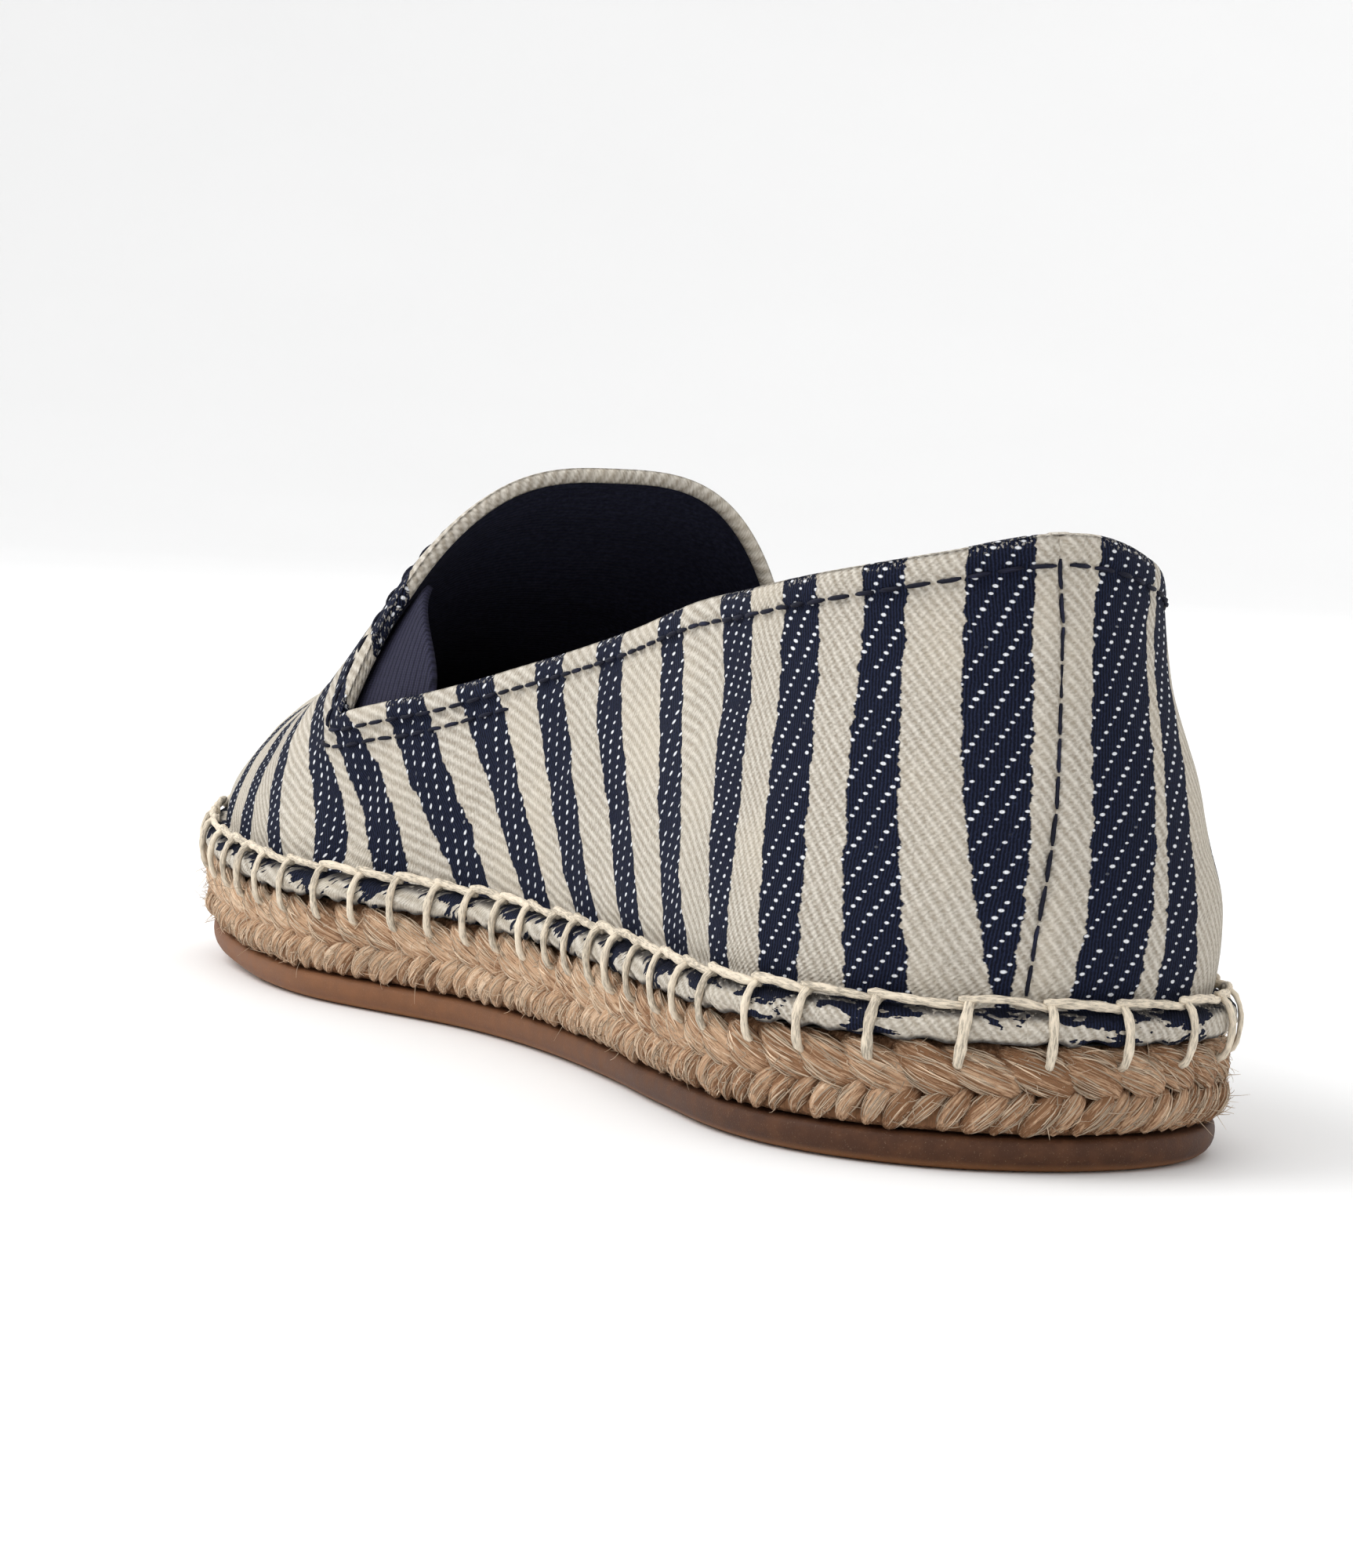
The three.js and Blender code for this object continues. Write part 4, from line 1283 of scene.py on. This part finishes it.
def strand_paths(shoe, pitch, upper):
    """Middle lines of the plait's upper or lower strands, outwards there, half widths and the random source."""
    around = shoe.rope_at[-1] - shoe.rope_at[0]
    count = round(around / (pitch if upper else pitch / 2))
    rng = np.random.default_rng(5 if upper else 6)
    spot = shoe.rope_at[0] + (np.arange(count) + (0 if upper else 0.5)) * around / count
    steps = 17
    p = np.linspace(0, 1, steps)[None]
    slant = (10.5 if upper else 4.4) * (1 + rng.normal(0, 0.05 if upper else 0.16, (count, 1)))
    round_in = 1 - np.sin(math.pi * (0.1 + 0.8 * p))
    if upper:
        height = ROPE_FOOT + 8.75 - 4.0 * p**1.1
        inset = 1.3 + 1.3 * round_in + 1.0 * ease(0.78, 1.0, p)
    else:
        height = ROPE_FOOT + 0.3 + 4.9 * p**0.9
        inset = 1.4 + 1.5 * round_in + 0.9 * ease(0.75, 1.0, p) + rng.normal(0, 0.16, (count, 1))
    distance = spot[:, None] - slant * (p - 0.5)
    distance = distance + rng.normal(0, 0.22, (count, 1))
    low = shoe.rope_at[0]
    distance = (distance - low) % around + low
    turn = shoe.rope_turn_at(distance)
    height = height + rng.normal(0, 0.12, (count, 1))
    inset = inset + rng.normal(0, 0.1, (count, 1))
    paths = shoe.sole_point(turn, inset, np.broadcast_to(height, turn.shape))
    normal = shoe.level_outwards(turn)
    body = np.sin(math.pi * (0.07 + 0.86 * p)) ** 0.55
    wide = (2.3 if upper else 1.3) * body * (1 + rng.normal(0, 0.06 if upper else 0.14, (count, 1)))
    deep = (1.22 if upper else 1.15) * body * np.ones((count, 1))
    return paths, normal, wide, deep, rng


class SHOE_OT_rope(Operator):
    """The plaited jute sole: a core and two rows of strands"""

    bl_idname = "shoe.rope"
    bl_label = "Rope sole"

    def execute(self, context):
        shoe, _, rope, colours = settings_of(context)
        # The dark tone is a painted shade between the jute's fibres.
        dark, middle, light = (tuple(c) for c in (colours.jute_shade, colours.jute, colours.jute_light))
        # A painted shade darkens the rope round the heel.
        finish = fibre_finish("jute", dark, middle, light, 0.16, 4.2, 0.7, 0.92, heel_painted_shade=0.085)
        turns = shoe.turns[::6][:-1]
        # Inset from the rope's line and height over the rope's foot.
        profile = [(7, 0.25), (3, 0), (2.3, 0.6), (2, 2.4), (2.7, 4.9), (1.9, 7.2), (1.9, 9), (2.8, 9.95), (7, 9.95)]
        rings = np.stack([shoe.sole_point(turns, inset, ROPE_FOOT + up) for inset, up in profile])
        core = Mesh()
        flat = rings.reshape(-1, 3)
        core.add(flat, [ring_faces(len(profile), len(turns), True)], fibre=flat, seed=np.zeros(len(flat)))
        half = len(turns) // 2
        for level, flip in ((0, False), (len(profile) - 1, True)):
            ring = rings[level]
            medial, lateral = ring[half:], ring[half::-1]
            n = min(len(medial), len(lateral))
            sheet = np.stack([medial[:n] * (1 - f) + lateral[:n] * f for f in np.linspace(0, 1, 9)], 1)
            faces = grid_faces(n, 9, not flip)
            core.add(sheet.reshape(-1, 3), [faces], fibre=sheet.reshape(-1, 3), seed=np.zeros(n * 9))
        # The core, behind the strands, takes a darker form of the painted shade between fibres.
        core_finish = fibre_finish("jute core", *shades(dark, 0.6, 1), middle, 0.3, 2.0, 0.4, 0.95)
        core.build("rope_core", shoe, core_finish, "jute", ("rope_sole",))

        pitch = rope.plait_pitch / MM
        for upper in (True, False):
            paths, normal, wide, deep, rng = strand_paths(shoe, pitch, upper)
            count, steps, _ = paths.shape
            sides = 30 if upper else 16
            angle = np.arange(sides) * 2 * math.pi / sides
            along = lengths_along(paths)
            shift = rng.uniform(0, 6.28, (count, 1, 1))
            twist = along[..., None] * (0.16 if upper else 0.3)
            cords = np.cos(7 * (angle + twist) + shift) * 0.045 + np.cos(4 * (angle + twist) + shift * 2) * 0.04
            cords = cords + rng.normal(0, 0.035, (count, 1, sides)) + rng.normal(0, 0.012, (count, steps, sides))
            seeds = rng.uniform(0, 400, count)
            strands = Mesh().add_tubes(paths, normal, wide, deep, sides, cords, seeds)
            name = "rope_upper_strands" if upper else "rope_lower_strands"
            strands.build(name, shoe, finish, "jute", ("rope_sole",))
        return {"FINISHED"}


class SHOE_OT_jute_fibres(Operator):
    """Loose fibres that lie along the strands, and hairs that stand off the rope"""

    bl_idname = "shoe.jute_fibres"
    bl_label = "Jute fibres"

    def execute(self, context):
        shoe, _, rope, colours = settings_of(context)
        pitch = rope.plait_pitch / MM
        tones = shades(colours.jute_light, 0.4, 0.72, 1.1)
        # A painted shade darkens the loose fibres round the heel.
        finish = fibre_finish("loose jute", *tones, 0.2, 2.0, 0.02, heel_painted_shade=0.06)
        knots = np.linspace(0, 1, 7)
        laid, hairs = Mesh(), Mesh()
        for upper in (True, False):
            paths, normal, wide, deep, rng = strand_paths(shoe, pitch, upper)
            count, steps, _ = paths.shape
            tangent = unit(np.gradient(paths, axis=1))
            sideways = unit(np.cross(tangent, normal))
            out = np.cross(sideways, tangent)
            # Fibres that lie on the strands.
            which = np.repeat(np.arange(count), 17 if upper else 9)
            n = len(which)
            start = rng.uniform(0.03, 0.35, n)
            span = rng.uniform(0.35, 0.62, n)
            s = (start[:, None] + span[:, None] * knots[None]) * (steps - 1)
            i = np.clip(s.astype(int), 0, steps - 2)
            f = (s - i)[..., None]

            def pick(values):
                low, high = values[which[:, None], i], values[which[:, None], i + 1]
                return low + (high - low) * (f if values.ndim == 3 else f[..., 0])

            angle = rng.uniform(0.1, math.pi - 0.1, n)[:, None] + rng.normal(0, 0.22, (n, 1)) * knots
            lift = 1.0 + rng.uniform(0.0, 0.12, (n, 1)) + rng.normal(0, 0.03, (n, 7))
            x = pick(wide) * np.cos(angle) * lift
            y = pick(deep) * np.sin(angle) * lift
            line = pick(paths) + x[..., None] * pick(sideways) + y[..., None] * pick(out)
            size = rng.uniform(0.045, 0.11, n)[:, None] * np.array([0.4, 0.9, 1, 1, 1, 0.9, 0.4])
            laid.add_tubes(line, pick(normal), size, size, 4, None, rng.uniform(0, 400, n))

            # Short hairs that stand off them.
            n = rope.hairs // 3 if upper else rope.hairs - rope.hairs // 3
            which = rng.integers(0, count, n)
            s = rng.uniform(0.1, 0.9, n) * (steps - 1)
            i = s.astype(int)[:, None]
            f = (s[:, None] - i)[..., None]
            root = pick(paths)[:, 0]
            face, side, run = pick(out)[:, 0], pick(sideways)[:, 0], pick(tangent)[:, 0]
            angle = rng.uniform(0.35, math.pi - 0.35, n)[:, None]
            if not upper:
                # Most of the lower row's fuzz hangs over the rubber.
                rises = side[:, 2:] * np.cos(angle) > 0
                angle = np.where(rises & (rng.uniform(0, 1, (n, 1)) < 0.7), math.pi - angle, angle)
            radial = unit(np.cos(angle) * side + np.sin(angle) * face)
            root = root + np.cos(angle) * side * pick(wide) + np.sin(angle) * face * pick(deep)
            length = rng.gamma(2.2, 0.75 if upper else 0.6, n)[:, None, None].clip(0.5, 3.2)
            t = knots[None, :, None]
            drift = unit(rng.normal(0, 1, (n, 3)) + run * 1.2)[:, None]
            curl = rng.normal(0, 1, (n, 1, 3))
            line = root[:, None] + length * (
                radial[:, None] * 0.42 * t * (1 - 0.45 * t) + drift * 0.75 * t + curl * 0.16 * t * t
            )
            line[..., 2] = np.maximum(line[..., 2], 0.25)
            size = rng.uniform(0.04, 0.08, n)[:, None] * np.linspace(1, 0.35, 7)[None]
            hairs.add_tubes(line, radial[:, None], size, size, 3, None, rng.uniform(0, 400, n))
        laid.build("jute_fibres", shoe, finish, "jute")
        hairs.build("jute_hairs", shoe, finish, "jute")
        return {"FINISHED"}


def across_sheet(shoe, inset, height, columns=121, rows=41):
    """A level sheet inside the outline, stored column by column from heel to toe."""
    turn = np.linspace(0.02, math.pi - 0.02, columns)
    inner = shoe.sole_point(turn, inset, height)
    outer = shoe.sole_point(-turn, inset, height)
    part = np.linspace(0, 1, rows)[None, :, None]
    return inner[:, None] * (1 - part) + outer[:, None] * part


class SHOE_OT_outsole(Operator):
    """The rubber outsole: a rounded rim, a sunk field and plain tread bars"""

    bl_idname = "shoe.outsole"
    bl_label = "Outsole"

    def execute(self, context):
        shoe, _, _, colours = settings_of(context)
        finish = rubber_finish(colours)
        turns = shoe.turns[::5][:-1]
        # Inset from the rope's line and height over the floor, from the middle of the underside round to the top.
        profile = [
            (9.3, 0.75), (8.9, 0.72), (8.65, 0.6), (8.5, 0.15), (8.35, 0.02), (8.1, 0.0), (5.4, 0.0), (4.2, 0.03),
            (3.4, 0.16), (2.7, 0.42), (2.1, 0.85), (1.7, 1.4), (1.47, 2.0), (1.4, 2.6), (1.42, 3.1), (1.5, 3.5),
            (1.75, 3.82), (2.2, 3.97), (9.3, 4.0),
        ]
        uneven = ripple(np.interp(turns, shoe.turns, shoe.rope_at) / 26, np.zeros(len(turns)), 8) * 0.06
        rings = np.stack([shoe.sole_point(turns, inset + uneven, up) for inset, up in profile])
        mesh = Mesh()
        up = np.repeat([row[1] for row in profile], len(turns))
        mesh.add(rings.reshape(-1, 3), [ring_faces(len(profile), len(turns), True)], up=up)
        for height, flip in ((0.75, True), (4.0, False)):
            sheet = across_sheet(shoe, 9.3, height)
            columns, rows, _ = sheet.shape
            mesh.add(sheet, [grid_faces(columns, rows, flip)], up=np.full(columns * rows, height))
        mesh.build("rubber_outsole", shoe, finish, "rubber", ("outsole",))

        # Tread bars: slanted, in rows that mirror down the middle.
        bars = Mesh()
        row_spacing, margin, least, gap, bar_length, half_wide, rounding = 6.4, 12.5, 12, 2.4, 14, 1.45, 0.7
        a = 2 * math.pi * (np.arange(20) + 0.5) / 20
        ring = np.stack([np.cos(a), np.sin(a)], 1)
        # Scale and height over the floor, from the sunk field down to the bar's face.
        levels = [(1.1, 0.9), (1.02, 0.35), (0.97, 0.12), (0.88, 0.04)]
        for y in np.arange(-112, 113, row_spacing):
            turn = turn_of(np.array([0.5 - y / shoe.length]))
            right, left = (float(shoe.edge(t, margin)[0, 0]) for t in (turn, -turn))
            width = right - left
            if width < least:
                continue
            count = max(1, int((width + gap) // bar_length))
            pitch = (width + gap) / count
            for k in range(count):
                centre = left - gap / 2 + pitch * (k + 0.5)
                slope = math.radians(16) * (1 if centre > (left + right) / 2 else -1)
                halves = np.array([(pitch - gap) / 2, half_wide])
                box = np.sign(ring) * (halves - rounding) + ring * rounding
                layers = []
                for scale, rise in levels:
                    shaped = box * [1 - (1 - scale) * 0.25, scale]
                    x = centre + shaped[:, 0] * math.cos(slope) - shaped[:, 1] * math.sin(slope)
                    z = y + shaped[:, 0] * math.sin(slope) + shaped[:, 1] * math.cos(slope)
                    lift = shoe.lift(0.5 - z / shoe.length)
                    layers.append(np.stack([x, z, rise + lift], 1))
                cap = [list(range(3 * len(ring), 4 * len(ring)))[::-1]]
                up = np.repeat([level[1] for level in levels], len(ring))
                bars.add(np.concatenate(layers), [ring_faces(4, len(ring), True), cap], up=up)
        bars.build("tread_bars", shoe, finish, "rubber")
        return {"FINISHED"}


class SHOE_OT_insole(Operator):
    """The cloth-covered footbed"""

    bl_idname = "shoe.insole"
    bl_label = "Footbed"

    def execute(self, context):
        shoe, _, _, colours = settings_of(context)
        inset = shoe.hem_width + shoe.wall + 0.5
        turns = shoe.turns[::8][:-1]
        # Inset from the wall's inside and height over the footbed's foot.
        profile = [(0.3, 0.0), (0.0, 0.3), (0.0, 1.9), (0.15, 2.5), (0.5, 2.85), (1.1, 3.0), (2.2, 2.98)]
        rings = np.stack([shoe.sole_point(turns, inset + i, FEATHER + up) for i, up in profile])
        mesh = Mesh()
        mesh.add(rings.reshape(-1, 3), [ring_faces(len(profile), len(turns), True)])
        sheet = across_sheet(shoe, inset + 2.2, FEATHER + 2.98)
        part = np.linspace(-1, 1, sheet.shape[1])[None]
        along = sheet[..., 1] / shoe.length
        # It is worn hollow under the heel and the ball of the foot.
        cup = 0.7 * np.exp(-(((along - 0.34) / 0.1) ** 2)) * (1 - part**2) ** 1.2
        ball = 0.5 * np.exp(-(((along + 0.2) / 0.13) ** 2)) * (1 - part**2) ** 1.2
        sheet[..., 2] -= cup + ball
        mesh.add(sheet.reshape(-1, 3), [grid_faces(sheet.shape[0], sheet.shape[1])])
        mesh.build("footbed", shoe, footbed_finish(colours), "footbed", ("insole",))
        return {"FINISHED"}


class SHOE_OT_gores(Operator):
    """The two ribbed elastic gores behind the notches"""

    bl_idname = "shoe.gores"
    bl_label = "Gores"

    def execute(self, context):
        shoe, _, _, colours = settings_of(context)
        finish = elastic_finish(colours)
        # How far they reach under the canvas, where their edge starts, how high it climbs and how it bows.
        lap, back, rise, bow = 6.0, 0.57, 23.0, 0.55
        rib_spacing, thick = 1.24, 1.2
        corner = float(shoe.topline(THROAT))
        share = np.linspace(back - lap / shoe.length / 2, THROAT + lap / shoe.length, 121)
        foot = shoe.topline(np.minimum(share, THROAT))
        low = np.where(share < THROAT, shoe.topline(share), corner) - lap
        part = np.clip((share - back) / (THROAT - back), 0, 1)
        high = foot + (corner + rise - foot) * part**bow
        # Under the vamp its top slopes down out of sight.
        hidden_from, slope = 0.625, 1.3
        high = high - np.maximum(share - hidden_from, 0) * shoe.length * slope
        rows = np.linspace(0, 1, 33)
        height = low[:, None] + (high - low)[:, None] * rows[None]
        for name, side in (("gore_medial", 1), ("gore_lateral", -1)):
            turn = side * turn_of(share)[:, None]
            plain = shoe.last_point(turn, shoe.rise_at(share[:, None], height))
            quads = grid_faces(len(share), len(rows), side < 0)
            normal = normals_of(plain.reshape(-1, 3), quads).reshape(plain.shape)
            normal = normal * np.sign(normal[..., 0].mean() * side)
            across = (share - share[0])[:, None] * shoe.length * np.ones(len(rows))
            up = height - low.min()
            rib = 0.06 * np.cos(across / rib_spacing * 2 * math.pi)
            roll = 0.25 * ease(0.0, 0.9, high[:, None] - height)
            front = plain + normal * (rib + roll - shoe.wall - 0.87)[..., None]
            behind = plain - normal * (shoe.wall + 0.5 + thick - roll)[..., None]
            flat = np.concatenate([front.reshape(-1, 3), behind.reshape(-1, 3)])
            total = len(share) * len(rows)
            border = np.concatenate([
                np.arange(len(share)) * len(rows),
                (len(share) - 1) * len(rows) + np.arange(1, len(rows)),
                np.arange(len(share) - 2, -1, -1) * len(rows) + len(rows) - 1,
                np.arange(len(rows) - 2, 0, -1),
            ])
            nxt = np.roll(border, -1)
            rim = np.stack([border, border + total, nxt + total, nxt], -1)
            rim = rim if side > 0 else rim[:, ::-1]
            mesh = Mesh()
            u, v = np.tile(across.ravel(), 2), np.tile(up.ravel(), 2)
            mesh.add(flat, [quads, quads[:, ::-1] + total, rim], cloth_u=u, cloth_v=v)
            mesh.build(name + "_elastic", shoe, finish, "elastic", (name,))
        return {"FINISHED"}


class SHOE_OT_side_tag(Operator):
    """The small plain metal tag on the outer side"""

    bl_idname = "shoe.side_tag"
    bl_label = "Side tag"

    def execute(self, context):
        shoe, _, _, colours = settings_of(context)
        long, tall, drop, at = 9.0, 5.0, 7.0, 0.13
        centre_up = float(shoe.topline(at)) - drop - tall / 2 - shoe.hem_height
        centre_at = np.interp(-float(turn_of(np.array(at))), shoe.turns, shoe.crease_at)
        sides, corner = 48, 0.8
        a = 2 * math.pi * (np.arange(sides) + 0.5) / sides
        x = np.sign(np.cos(a)) * (long / 2 - corner) + corner * np.cos(a)
        y = np.sign(np.sin(a)) * (tall / 2 - corner) + corner * np.sin(a)
        near, _ = shoe.wall_point(centre_at + np.array([-1.0, 1.0]), np.full(2, centre_up), np.zeros(2))
        spread = 2.0 / np.linalg.norm(near[1] - near[0])
        # Shrink of the outline in millimetres and height off the canvas, from the back edge to the middle.
        profile = [
            (0.15, 0.3), (0.0, 0.42), (0.0, 0.85), (0.12, 1.03), (0.3, 1.1), (0.62, 1.1), (0.72, 1.0), (0.8, 0.98),
        ]
        scaled = [(1 - shrink / (long / 2), 1 - shrink / (tall / 2), off) for shrink, off in profile]
        scaled += [(inward, inward, 0.98) for inward in (0.6, 0.3, 0.05)]
        rings = np.stack([
            shoe.wall_point(centre_at + x * sx * spread, centre_up + y * sy, np.full(sides, off))[0]
            for sx, sy, off in scaled
        ])
        count = len(rings)
        mesh = Mesh()
        cap = [list(range((count - 1) * sides, count * sides))]
        back = [list(range(sides))[::-1]]
        mesh.add(rings.reshape(-1, 3), [ring_faces(count, sides), cap, back])
        mesh.build("gilt_tag", shoe, gilt_finish(colours), "gilt", ("side_tag",))
        return {"FINISHED"}


def lamp(name, place, target, size, power):
    """A round soft lamp turned to the target."""
    data = bpy.data.lights.new(name, "AREA")
    data.shape = "DISK"
    data.size = size
    data.energy = power
    light = bpy.data.objects.new(name, data)
    light.location = place
    light.rotation_mode = "QUATERNION"
    light.rotation_quaternion = (Vector(target) - Vector(place)).to_track_quat("-Z", "Y")
    bpy.context.scene.collection.objects.link(light)


class SHOE_OT_stage(Operator):
    """The pale floor, the soft lights and the camera"""

    bl_idname = "shoe.stage"
    bl_label = "Stage"

    def execute(self, context):
        scene = context.scene
        # The floor is a wide shallow bowl, so no edge shows behind the shoe.
        bowl = [(0.01, 0), (2.2, 0)]
        bowl += [(2.2 + 2 * math.sin(a), 2 - 2 * math.cos(a)) for a in np.linspace(0.05, 1.5, 24)]
        around = np.linspace(0, 2 * math.pi, 97)[:-1]
        rings = [[(r * math.cos(a), r * math.sin(a), up) for a in around] for r, up in bowl]
        faces = ring_faces(len(rings), len(around), True).tolist() + [list(range(len(around)))]
        mesh = bpy.data.meshes.new("floor")
        mesh.from_pydata([v for ring in rings for v in ring], [], faces)
        mesh.polygons.foreach_set("use_smooth", [True] * len(mesh.polygons))
        floor = bpy.data.objects.new("floor", mesh)
        scene.collection.objects.link(floor)
        recipe = Recipe("pale floor")
        cloudy = recipe.noise(recipe.here(), 0.004, 2)
        tone = recipe.mix(cloudy, (0.88, 0.88, 0.88), (0.91, 0.91, 0.91))
        # From below the floor is clear, so the tread can be looked at.
        above = 1 - recipe.node("ShaderNodeNewGeometry", None, None, "Backfacing")
        mesh.materials.append(
            recipe.finish(Base_Color=tone, Roughness=0.75, Specular_IOR_Level=0.2, Alpha=above)
        )

        # A wide soft light, from 0.4 at the heel's outer side to 1.62 at the toe's inner side.
        scene.world = scene.world or bpy.data.worlds.new("studio")
        sky = Recipe("studio", scene.world)
        brightest = (0.858, -0.512, 0.15)
        direction = sky.node("ShaderNodeTexCoord", None, None, "Generated")
        facing = sky.node("ShaderNodeVectorMath", {"operation": "DOT_PRODUCT"}, {0: direction, 1: brightest}, "Value")
        white = {"Color": (1, 1, 1), "Strength": facing * 0.61 + 1.01}
        sky.node("ShaderNodeOutputWorld", None, {"Surface": sky.node("ShaderNodeBackground", None, white)})
        scene.view_settings.view_transform = "Standard"

        target = (0.0, 0.0, 0.03)
        lamp("key", (0.95, -0.35, 1.1), target, 1.2, 9.5)
        lamp("fill", (0.1, 1.3, 0.9), target, 1.1, 0.6)
        lamp("back", (-0.9, -0.9, 1.2), target, 1.0, 3)

        # The camera stands where the photograph's did, rolled as it was.
        place, aim, upright = (
            Vector(v) for v in ((0.24373, 0.6021, 0.0792), (0.0, 0.003, 0.0335), (0.0569, 0.0172, 0.9982))
        )
        forward = (aim - place).normalized()
        right = forward.cross(upright).normalized()
        up = right.cross(forward)
        data = bpy.data.cameras.new("camera")
        data.lens = 112
        data.clip_start, data.clip_end = 0.01, 50
        camera = bpy.data.objects.new("camera", data)
        scene.collection.objects.link(camera)
        turn = Matrix((right, up, -forward)).transposed().to_4x4()
        camera.matrix_world = Matrix.Translation(place) @ turn
        scene.camera = camera
        return {"FINISHED"}


STEPS = (
    SHOE_OT_canvas,
    SHOE_OT_lining,
    SHOE_OT_hem_threads,
    SHOE_OT_collar_stitches,
    SHOE_OT_rope,
    SHOE_OT_jute_fibres,
    SHOE_OT_outsole,
    SHOE_OT_insole,
    SHOE_OT_gores,
    SHOE_OT_side_tag,
    SHOE_OT_stage,
)


class SHOE_PT_panel(Panel):
    """Everything that dresses the shoe, in the order it is made"""

    bl_idname = "SHOE_PT_panel"
    bl_label = "Espadrille"
    bl_space_type = "VIEW_3D"
    bl_region_type = "UI"
    bl_category = "Espadrille"

    def draw(self, context):
        layout = self.layout
        for step in STEPS:
            layout.operator(step.bl_idname)
        for key, group in GROUPS.items():
            box = layout.box()
            for name in group.__annotations__:
                box.prop(getattr(context.scene, key), name)


GROUPS = {
    "shoe_sizes": ShoeSizes,
    "shoe_cloth": ClothSettings,
    "shoe_rope": RopeSettings,
    "shoe_colours": ShoeColours,
}
KINDS = (*GROUPS.values(), *STEPS, SHOE_PT_panel)


def register():
    for kind in KINDS:
        bpy.utils.register_class(kind)
    for key, group in GROUPS.items():
        setattr(bpy.types.Scene, key, PointerProperty(type=group))


def unregister():
    for key in GROUPS:
        delattr(bpy.types.Scene, key)
    for kind in reversed(KINDS):
        bpy.utils.unregister_class(kind)


def main():
    register()
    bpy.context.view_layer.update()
    for step in STEPS:
        group, name = step.bl_idname.split(".")
        getattr(getattr(bpy.ops, group), name)()


if __name__ == "__main__":
    main()
